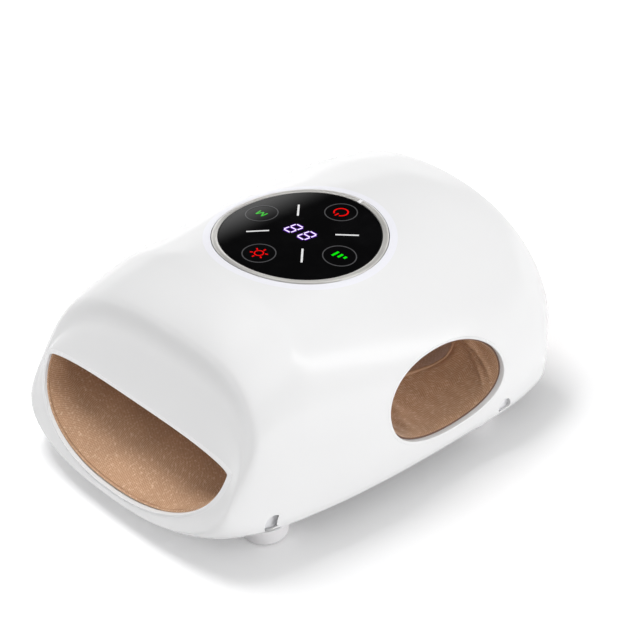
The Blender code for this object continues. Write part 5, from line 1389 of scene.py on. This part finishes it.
# Screw plugs. Four soft white plugs moulded in silicone rubber, pressed into the side
# pockets over the screw heads, each with a slightly dished face.
PLUG_DEEP = 0.0017
PLUG_DISH = 0.0005
PLUG_RIM = 0.0012
PLUG_PLAY = 0.00005
PLUG_TURNS = 40
plug_white = moulded_plastic(
    "plug white",
    (0.74, 0.74, 0.755),
    clean=0.42,
    rubbed=0.5,
    grain_depth=0.00002,
    grains=2400.0,
    pale=(0.78, 0.78, 0.79),
)
for side, word in ((1, "right"), (-1, "left")):
    for spot, y in SIDE_Y.items():
        reach = side_reach(body_sizes, y, POCKET_LEVEL - FOOT_HEIGHT)
        floor_x = reach - SHELL_WALL - POCKET_DEPTH
        seat_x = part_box(f"side_screw_{spot}_right")[1].x + 0.0001
        face_x = reach - PLUG_DEEP
        loops = []
        for x, shrink, dish in (
            (seat_x, PLUG_PLAY, 0.0),
            (face_x, PLUG_PLAY, 0.0),
            (face_x, PLUG_RIM, PLUG_DISH),
        ):
            loop = []
            for step in range(PLUG_TURNS):
                angle = 2 * math.pi * (step + 0.5) / PLUG_TURNS
                out = x
                # A few rounds bring the point in until it lies below the shell's skin.
                for _ in range(4):
                    share = (out - floor_x) / (reach + POCKET_OVERRUN - floor_x)
                    shift, lift, wider, climb = [part * share for part in POCKET_MOUTH[spot]]
                    across = POCKET_RADIUS + wider - shrink
                    height = max(POCKET_LEVEL + lift + across * math.sin(angle), POCKET_FLAT + climb + shrink)
                    beside = y + shift + across * math.cos(angle)
                    skin_in = side_reach(body_sizes, beside, height - FOOT_HEIGHT) - PLUG_DEEP
                    out = x if x == seat_x else max(min(x, skin_in), seat_x + 0.0008)
                loop.append(Vector((side * (out - dish), beside, height)))
            loops.append(loop)
        plug = skin(f"screw_plug_{spot}_{word}", loops, capped=True)
        dress(plug, plug_white)


# Finger lip. A thin ring of gloss white ABS pressed into the shell's mouth over the edge of
# the lining, with a front that runs on from the nose. Its white is set a shade paler than the
# shell's as painted light, so that the lip's face shows as a light line.
LIP_THICK_SIDE = 0.0023
LIP_THICK_TOP = 0.0010
LIP_DEPTH = 0.0014
LIP_REACH = 0.0004
LIP_PROUD = 0.0006
LIP_SEAM = 0.00001
LIP_ROUND = 0.0004
LIP_ROUND_START = 0.82


def lip_section(angle):
    """The lip's section at one angle: a face that runs on from the nose, and a small inner round."""
    thick = LIP_THICK_TOP + (LIP_THICK_SIDE - LIP_THICK_TOP) * math.cos(angle) ** 2
    seat = min(LIP_WALL + PIECE_GAP, thick - 0.0001)
    edge = station_point(body_sizes(0.0, LIP_SEAM), angle)
    onward = (edge - station_point(body_sizes(0.012, LIP_SEAM), angle)).normalized()
    outer = edge + onward * LIP_REACH
    inner = station_point(body_sizes(0.0, thick), angle, -LIP_PROUD)
    back = Vector((0, 1, 0))
    section = [
        station_point(body_sizes(0.0, seat), angle, LIP_DEPTH),
        station_point(body_sizes(0.0, seat), angle),
        edge,
    ]
    section += [outer + (inner - outer) * share for share in (0.0, 0.3, 0.6, LIP_ROUND_START)]
    for turn in (30, 60, 90):
        way = math.radians(turn)
        along = LIP_ROUND_START + (1 - LIP_ROUND_START) * math.sin(way)
        section.append(outer + (inner - outer) * along + back * LIP_ROUND * (1 - math.cos(way)))
    section.append(station_point(body_sizes(0.0, thick), angle, LIP_DEPTH))
    return section


lip_angles = even_angles(body_sizes(0.0), 240)
sections = [lip_section(angle) for angle in lip_angles]
lip = skin("finger_lip", [list(loop) for loop in zip(*sections)], closed=True, smooth_angle=0.6)
# A shade paler than the shell's white: painted light for the bright line along the lip's face.
lip_white = moulded_plastic(
    "lip white",
    (0.775, 0.775, 0.78),
    clean=0.26,
    rubbed=0.30,
    grain_depth=0.00001,
    grains=2600.0,
    pale=(0.81, 0.81, 0.815),
)
dress(lip, lip_white)
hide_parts("front_bezel")


# Thumb rims. Oval trim rings of gloss white, snapped into the thumb holes from outside,
# with a rolled edge that follows the shell's curve and a short wall that holds the sleeve.
RIM_DEPTH = 0.0040
RIM_SEAM = 0.00004
RIM_ROUND = 0.0005
RIM_INNER = PIECE_GAP + RIM_WALL
RIM_PROUD = 0.00006
rim_section = [(RIM_SEAM, -RIM_DEPTH), (RIM_SEAM, 0.0), (RIM_INNER - RIM_ROUND, RIM_PROUD)]
for turn in (18, 36, 54, 72, 90):
    way = math.radians(turn)
    inward, out = RIM_ROUND * (1 - math.sin(way)), RIM_ROUND * (1 - math.cos(way))
    rim_section.append((RIM_INNER - inward, RIM_PROUD - out))
rim_section.append((RIM_INNER, -RIM_DEPTH))
rim_reach = []
for step in range(180):
    spot = oval_point(0.0, 2 * math.pi * step / 180, RIM_SEAM)
    rim_reach.append(skin_x(spot.y, spot.z))
for side, word in ((1, "right"), (-1, "left")):
    loops = []
    for shrink, depth in rim_section:
        loop = []
        for step in range(180):
            spot = oval_point(0.0, 2 * math.pi * step / 180, shrink)
            spot.x = side * (rim_reach[step] + depth)
            loop.append(spot)
        loops.append(loop)
    rim = skin(f"thumb_trim_{word}", loops, closed=True, smooth_angle=0.9)
    dress(rim, gloss_white)
    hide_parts(f"thumb_rim_{word}")


# Wrist cover and charging inlet. A satin white plate round the wrist opening closes the
# rear of the shell. The charging socket stands behind its slot on a small board.
wear_finish("rear_cover", satin_white)
wear_finish("charge_socket", plated_steel)


# Touch panel. A black glass disc, crowned to the shell's curve, is bonded on a grey tray
# with the touch board under it. The keys and digits shine through windows in its print.
black_glass, glass_tree, glass_shader = new_finish("black panel glass", Specular_IOR_Level=0.36)
glass_touch = place_group(glass_tree, handling, Clean=0.035, Rubbed=0.10, Smears_per_metre=45.0)
glass_tree.links.new(
    tinted(glass_tree, (0.002, 0.002, 0.0022), glass_touch.outputs["Rub"], (0.004, 0.004, 0.0044)),
    glass_shader.inputs["Base Color"],
)
glass_tree.links.new(glass_touch.outputs["Roughness"], glass_shader.inputs["Roughness"])
RING_WIDTH = 0.0026
GLASS_RADIUS = RING_RADIUS - RING_WIDTH - PIECE_GAP
GLASS_THICKNESS = 0.0016
GLASS_EDGE = 0.0002
glass_rings = [panel_ring(GLASS_RADIUS * share, GLASS_THICKNESS) for share in (0.02, 0.5, 1.0)]
glass_rings += [panel_ring(GLASS_RADIUS, 0.0003), panel_ring(GLASS_RADIUS - GLASS_EDGE, 0.0)]
glass_rings += [
    panel_ring((GLASS_RADIUS - GLASS_EDGE) * share, 0.0)
    for share in (0.95, 0.85, 0.7, 0.55, 0.4, 0.25, 0.12, 0.02)
]
glass = skin("touch_glass", glass_rings, capped=True)
dress(glass, black_glass)
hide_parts("panel_glass")
wear_finish("panel_tray", frame_grey)
wear_finish("display_module", black_plastic)
for number in range(1, 5):
    wear_finish(f"touch_spring_{number}", plated_steel)


# Panel signs. White dashes, grey key circles, lit key icons and a two-digit display are
# printed under the glass. They are thin raised films here, and none of them is lettering
# beyond a plain M for mode. The dashes and circles glow as painted light, and two wider
# violet films round the digits are painted glow.
def glow_finish(name, colour, strength, base=0.004):
    """A glowing film under the same glass: a lit window in the print, or plain print with a painted glow."""
    made, tree, shader = new_finish(name, Roughness=0.06, Specular_IOR_Level=0.36)
    place = tree.nodes.new("ShaderNodeTexCoord").outputs["Object"]
    haze = spread(tree, noise_of(tree, place, 900.0, detail=2.0, rough=0.5), 0.3, 0.7, 0.88, 1.05)
    tree.links.new(toned(tree, colour, haze), shader.inputs["Emission Color"])
    tree.links.new(toned(tree, tuple(base for _ in range(3)), haze), shader.inputs["Base Color"])
    shader.inputs["Emission Strength"].default_value = strength
    return made


FILM_LIFT = 0.00007
FILM_THICKNESS = 0.00004


def print_film(name, outlines, made, lift=FILM_LIFT):
    """Thin film of one or more outlines on the panel; each is (x, y) points in order."""
    shape = bmesh.new()
    for outline in outlines:
        bottom = [shape.verts.new(panel_point(x, y, -lift)) for x, y in outline]
        top = [shape.verts.new(panel_point(x, y, -lift - FILM_THICKNESS)) for x, y in outline]
        count = len(outline)
        if count == 4:
            shape.faces.new(bottom[::-1])
            shape.faces.new(top)
        else:
            half = count // 2
            for at in range(half - 1):
                shape.faces.new((bottom[at], bottom[count - 1 - at], bottom[count - 2 - at], bottom[at + 1]))
                shape.faces.new((top[at], top[at + 1], top[count - 2 - at], top[count - 1 - at]))
        for at in range(count):
            beyond = (at + 1) % count
            shape.faces.new((bottom[at], bottom[beyond], top[beyond], top[at]))
    piece = to_object(name, shape, 0.5)
    return dress(piece, made)


def bar(x0, y0, x1, y1, width):
    """A straight stroke between two points."""
    run = Vector((x1 - x0, y1 - y0))
    across = Vector((-run.y, run.x)).normalized() * width / 2
    return [
        (x0 + across.x, y0 + across.y),
        (x0 - across.x, y0 - across.y),
        (x1 - across.x, y1 - across.y),
        (x1 + across.x, y1 + across.y),
    ]


def arc(x, y, radius, width, start=0.0, sweep=360.0, steps=48):
    """A curved stroke as one outline, out along its outer side and back along its inner side."""
    outer, inner = [], []
    for step in range(steps + 1):
        angle = math.radians(start + sweep * step / steps)
        for points, reach in ((outer, radius + width / 2), (inner, radius - width / 2)):
            points.append((x + reach * math.cos(angle), y + reach * math.sin(angle)))
    return outer + inner[::-1]


KEY_REACH = 0.0250
CIRCLE_RADIUS = 0.0074
CIRCLE_STROKE = 0.0005
# The white dashes and grey circles are print, not lit windows; their glow is painted light.
white_print_painted_glow = glow_finish("white print with painted glow", (0.9, 0.9, 0.9), 0.95)
grey_print_painted_glow = glow_finish("grey print with painted glow", (0.075, 0.075, 0.078), 1.0)
lit_green = glow_finish("green window", (0.0, 0.9, 0.0), 1.0)
dim_green = glow_finish("dim green window", (0.04, 0.55, 0.03), 1.0)
lit_red = glow_finish("red window", (0.95, 0.0, 0.0), 1.0)
lit_digit = glow_finish("digit window", (0.95, 0.86, 1.0), 1.25)
# The two violet films are painted glow: the light that spreads from the lit digits into the glass.
near_glow = glow_finish("painted violet glow at the digits' edge", (0.22, 0.03, 0.75), 1.0)
far_glow = glow_finish("painted violet glow round the digits", (0.06, 0.005, 0.20), 1.0)

key_places = {
    "mode": (-KEY_REACH, 0.0),
    "heat": (0.0, -KEY_REACH),
    "power": (0.0008, KEY_REACH),
    "force": (KEY_REACH, -0.0003),
}
for word, (x, y) in key_places.items():
    print_film(f"{word}_circle", [arc(x, y, CIRCLE_RADIUS, CIRCLE_STROKE)], grey_print_painted_glow)
DASH_WIDTH = 0.0009
dash_ends = (
    ((-0.0108, -0.0088), (-0.0177, -0.0163)),
    ((0.0123, 0.0098), (0.0196, 0.0173)),
    ((-0.0110, 0.0092), (-0.0180, 0.0166)),
    ((0.0106, -0.0088), (0.0178, -0.0164)),
)
dashes = [bar(*near, *far, DASH_WIDTH) for near, far in dash_ends]
print_film("panel_dashes", dashes, white_print_painted_glow)

ICON_STROKE = 0.0007
x, y = key_places["mode"]
letter = [(-0.0023, 0.0015), (-0.0017, -0.0020), (0.0, 0.0012), (0.0019, -0.0020), (0.0022, 0.0015)]
strokes = [bar(x + a[0], y + a[1], x + b[0], y + b[1], ICON_STROKE) for a, b in zip(letter, letter[1:])]
print_film("mode_letter", strokes, dim_green)

x, y = key_places["heat"]
rays = [arc(x, y, 0.0020, ICON_STROKE * 0.8)]
for step in range(6):
    way = math.radians(60 * step + 30)
    near, far = [(x + run * math.cos(way), y + run * math.sin(way)) for run in (0.0028, 0.0041)]
    rays.append(bar(*near, *far, ICON_STROKE))
print_film("heat_icon", rays, lit_red)

x, y = key_places["power"]
print_film(
    "power_icon",
    [arc(x, y, 0.0032, ICON_STROKE, -62.0, 304.0), bar(x, y - 0.0016, x, y - 0.0040, ICON_STROKE)],
    lit_red,
)

x, y = key_places["force"]
bars = [
    bar(x + across, y + 0.0018, x + across, y + top, 0.0011)
    for across, top in ((-0.0023, -0.0024), (0.0002, -0.0013), (0.0025, 0.0001))
]
print_film("force_icon", bars, lit_green)

DIGIT_HALF_WIDTH = 0.0022
DIGIT_HALF_HEIGHT = 0.0035
DIGIT_STROKE = 0.0006
DIGIT_LEAN = 0.157
DIGIT_REACH = 0.0043
DIGIT_BREAK = 0.0004
FAR_GLOW_SPREAD = 0.0012
NEAR_GLOW_SPREAD = 0.0004


def digit_bars(width):
    """The fourteen bars of the two digits, each at a stroke width."""
    bars = []
    for centre in (-DIGIT_REACH, DIGIT_REACH):
        for level in (-1, 0, 1):
            y = level * DIGIT_HALF_HEIGHT
            middle = centre + DIGIT_LEAN * y
            half = DIGIT_HALF_WIDTH - DIGIT_BREAK
            bars.append(bar(middle - half, y, middle + half, y, width))
        for across in (-1, 1):
            for level in (-1, 0):
                low_y = level * DIGIT_HALF_HEIGHT + DIGIT_BREAK
                high_y = low_y + DIGIT_HALF_HEIGHT - 2 * DIGIT_BREAK
                edge = centre + across * DIGIT_HALF_WIDTH
                bars.append(bar(edge + DIGIT_LEAN * low_y, low_y, edge + DIGIT_LEAN * high_y, high_y, width))
    return bars


# Two wider films under the digits paint their spreading violet glow.
print_film("digit_glow_far_film", digit_bars(DIGIT_STROKE + FAR_GLOW_SPREAD), far_glow, FILM_LIFT - 0.00005)
print_film("digit_glow_near_film", digit_bars(DIGIT_STROKE + NEAR_GLOW_SPREAD), near_glow, FILM_LIFT - 0.00002)
print_film("display_digits", digit_bars(DIGIT_STROKE), lit_digit, FILM_LIFT + 0.00001)


# Chrome ring. A thin plated ABS ring round the glass, with a rounded crown and a fine
# step inside it, split at the rear by a small white key that sets its turn.
chrome_bright = brushed_metal(
    "warm chrome plate",
    (0.74, 0.725, 0.695),
    clean=0.32,
    rubbed=0.36,
    run=(60.0, 60.0, 60.0),
)
chrome_bright.node_tree.nodes["Principled BSDF"].inputs["Metallic"].default_value = 0.55
RING_PROFILE = (
    (0.0, GLASS_THICKNESS),
    (0.0, -0.0001),
    (0.00015, -0.0003),
    (0.0005, -0.00052),
    (0.0009, -0.00062),
    (0.0013, -0.00064),
    (0.0016, -0.0006),
    (0.0018, -0.0005),
    (0.0019, -0.0003),
    (0.0023, -0.0002),
    (0.0026, 0.0),
    (0.0026, GLASS_THICKNESS),
)
RING_GAP = 0.0022
GAP_PLACE = math.radians(89.2)
gap_angle = RING_GAP / RING_RADIUS
loops = []
for step in range(181):
    angle = GAP_PLACE + gap_angle / 2 + (2 * math.pi - gap_angle) * step / 180
    loops.append([
        panel_point((RING_RADIUS - inward) * math.cos(angle), (RING_RADIUS - inward) * math.sin(angle), depth)
        for inward, depth in RING_PROFILE
    ])
ring_piece = skin("chrome_trim", loops, capped=True, smooth_angle=0.6)
dress(ring_piece, chrome_bright)
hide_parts("chrome_ring")
KEY_PLAY = 0.0001
key_half = gap_angle / 2 - KEY_PLAY / RING_RADIUS
key_loops = []
for step in range(5):
    angle = GAP_PLACE - key_half + 2 * key_half * step / 4
    key_loops.append([
        panel_point(reach * math.cos(angle), reach * math.sin(angle), depth)
        for reach, depth in (
            (RING_RADIUS, GLASS_THICKNESS),
            (RING_RADIUS, -0.0001),
            (RING_RADIUS - 0.0004, -0.0004),
            (RING_RADIUS - RING_WIDTH + 0.0004, -0.0004),
            (RING_RADIUS - RING_WIDTH, -0.0001),
            (RING_RADIUS - RING_WIDTH, GLASS_THICKNESS),
        )
    ])
dress(skin("ring_key", key_loops, capped=True), lip_white)


# Studio. The massager stands on a plain white sweep in a white room, under a large soft
# light from the upper left, with weaker ones before it and along its right side. The
# camera looks down at it from the front right.
floor_white, floor_tree, floor_shader = new_finish("white sweep", Roughness=0.9, Specular_IOR_Level=0.0)
floor_place = floor_tree.nodes.new("ShaderNodeTexCoord").outputs["Object"]
floor_tone = spread(floor_tree, noise_of(floor_tree, floor_place, 8.0), 0.3, 0.7, 0.995, 1.005)
floor_tree.links.new(toned(floor_tree, (0.93, 0.93, 0.935), floor_tone), floor_shader.inputs["Base Color"])
floor_path = floor_tree.nodes.new("ShaderNodeLightPath")
floor_seen = maths(
    floor_tree,
    "MAXIMUM",
    floor_path.outputs["Is Camera Ray"],
    maths(
        floor_tree,
        "MAXIMUM",
        floor_path.outputs["Is Glossy Ray"],
        floor_path.outputs["Is Transmission Ray"],
    ),
)
floor_glow = floor_tree.nodes.new("ShaderNodeEmission")
floor_far = floor_tree.nodes.new("ShaderNodeVectorMath")
floor_far.operation = "LENGTH"
floor_tree.links.new(floor_place, floor_far.inputs["Vector"])
GLOW_NEAR, GLOW_FAR = 0.16, 0.85
floor_glow_share = spread(floor_tree, floor_far.outputs["Value"], 0.45, 1.3, GLOW_NEAR, GLOW_FAR)
floor_tree.links.new(
    maths(floor_tree, "MULTIPLY", floor_seen, floor_glow_share),
    floor_glow.inputs["Strength"],
)
floor_sum = floor_tree.nodes.new("ShaderNodeAddShader")
floor_end = floor_tree.nodes["Material Output"]
floor_tree.links.new(floor_shader.outputs["BSDF"], floor_sum.inputs[0])
floor_tree.links.new(floor_glow.outputs["Emission"], floor_sum.inputs[1])
floor_tree.links.new(floor_sum.outputs["Shader"], floor_end.inputs["Surface"])
FLOOR_HALF = 4.0
floor_shape = bmesh.new()
floor_corners = [(x * FLOOR_HALF, y * FLOOR_HALF, 0.0) for x, y in ((-1, -1), (1, -1), (1, 1), (-1, 1))]
floor_shape.faces.new([floor_shape.verts.new(corner) for corner in floor_corners])
floor = to_object("studio_floor", floor_shape)
floor.data.materials.append(floor_white)

room = bpy.data.worlds.new("white room")
bpy.context.scene.world = room
room.use_nodes = True
room_tree = room.node_tree
room_sky = room_tree.nodes["Background"]
room_path = room_tree.nodes.new("ShaderNodeLightPath")
room_way = room_tree.nodes.new("ShaderNodeTexCoord")
room_split = room_tree.nodes.new("ShaderNodeSeparateXYZ")
room_tree.links.new(room_way.outputs["Generated"], room_split.inputs["Vector"])
room_low = spread(room_tree, room_split.outputs["Z"], 0.31, 0.43, 1.0, 0.012)
room_high = spread(room_tree, room_split.outputs["Z"], 0.80, 0.95, 0.0, 0.6)
room_wall = maths(room_tree, "MAXIMUM", room_low, room_high)
room_light = room_tree.nodes.new("ShaderNodeMix")
room_light.data_type = "FLOAT"
ROOM_STRENGTH = 0.49
room_light.inputs["A"].default_value = ROOM_STRENGTH
room_tree.links.new(room_wall, room_light.inputs["B"])
room_tree.links.new(room_path.outputs["Is Glossy Ray"], room_light.inputs["Factor"])
room_show = maths(
    room_tree,
    "MAXIMUM",
    room_light.outputs["Result"],
    maths(
        room_tree,
        "MAXIMUM",
        room_path.outputs["Is Camera Ray"],
        room_path.outputs["Is Transmission Ray"],
    ),
)
room_sky.inputs["Color"].default_value = (1.0, 1.0, 1.0, 1.0)
room_tree.links.new(room_show, room_sky.inputs["Strength"])


def soft_light(name, place, size, power, mirrored=False, lit=True):
    """A rectangular soft light that points at the massager, seen in its gloss or not."""
    data = bpy.data.lights.new(name, "AREA")
    data.shape = "RECTANGLE"
    data.size, data.size_y = size
    data.energy = power
    lamp = bpy.data.objects.new(name, data)
    bpy.context.scene.collection.objects.link(lamp)
    lamp.location = place
    lamp.rotation_euler = (Vector((0, 0, 0.05)) - Vector(place)).to_track_quat("-Z", "Y").to_euler()
    lamp.visible_glossy = mirrored
    lamp.visible_diffuse = lit
    return lamp


soft_light("key", (-0.70, 0.12, 1.42), (0.6, 0.6), 13.6)
soft_light("front_fill", (-0.40, -1.25, 0.95), (1.0, 0.8), 2.8)
side_fill = soft_light("side_fill", (1.35, 0.25, 0.65), (1.6, 0.7), 12.0)
off_floor = bpy.data.collections.new("pieces out of the side fill")
off_floor.objects.link(floor)
off_floor.collection_objects[0].light_linking.link_state = "EXCLUDE"
side_fill.light_linking.receiver_collection = off_floor
soft_light("low_fill", (1.45, 0.40, 0.16), (1.2, 0.3), 3.0)
soft_light("shoulder_strip", (0.62, 0.50, 0.90), (0.16, 0.9), 1.3, mirrored=True, lit=False)

CAMERA_PLACE = Vector((0.4623, -0.4109, 0.5005))
CAMERA_AZIMUTH = 0.8138
CAMERA_ELEVATION = 0.6362
CAMERA_ROLL = -0.0384
CAMERA_LENS = 95.35
backward = Vector((
    math.sin(CAMERA_AZIMUTH) * math.cos(CAMERA_ELEVATION),
    -math.cos(CAMERA_AZIMUTH) * math.cos(CAMERA_ELEVATION),
    math.sin(CAMERA_ELEVATION),
))
rightward = Vector((math.cos(CAMERA_AZIMUTH), math.sin(CAMERA_AZIMUTH), 0))
upward = backward.cross(rightward)
camera_x = rightward * math.cos(CAMERA_ROLL) + upward * math.sin(CAMERA_ROLL)
camera_y = upward * math.cos(CAMERA_ROLL) - rightward * math.sin(CAMERA_ROLL)
camera = bpy.data.objects.new("camera", bpy.data.cameras.new("camera"))
camera.data.sensor_width = 36.0
camera.data.lens = CAMERA_LENS
bpy.context.scene.collection.objects.link(camera)
camera_turn = Matrix((camera_x, camera_y, backward)).transposed().to_4x4()
camera.matrix_world = Matrix.Translation(CAMERA_PLACE) @ camera_turn
bpy.context.scene.camera = camera
bpy.context.scene.view_settings.view_transform = "Standard"
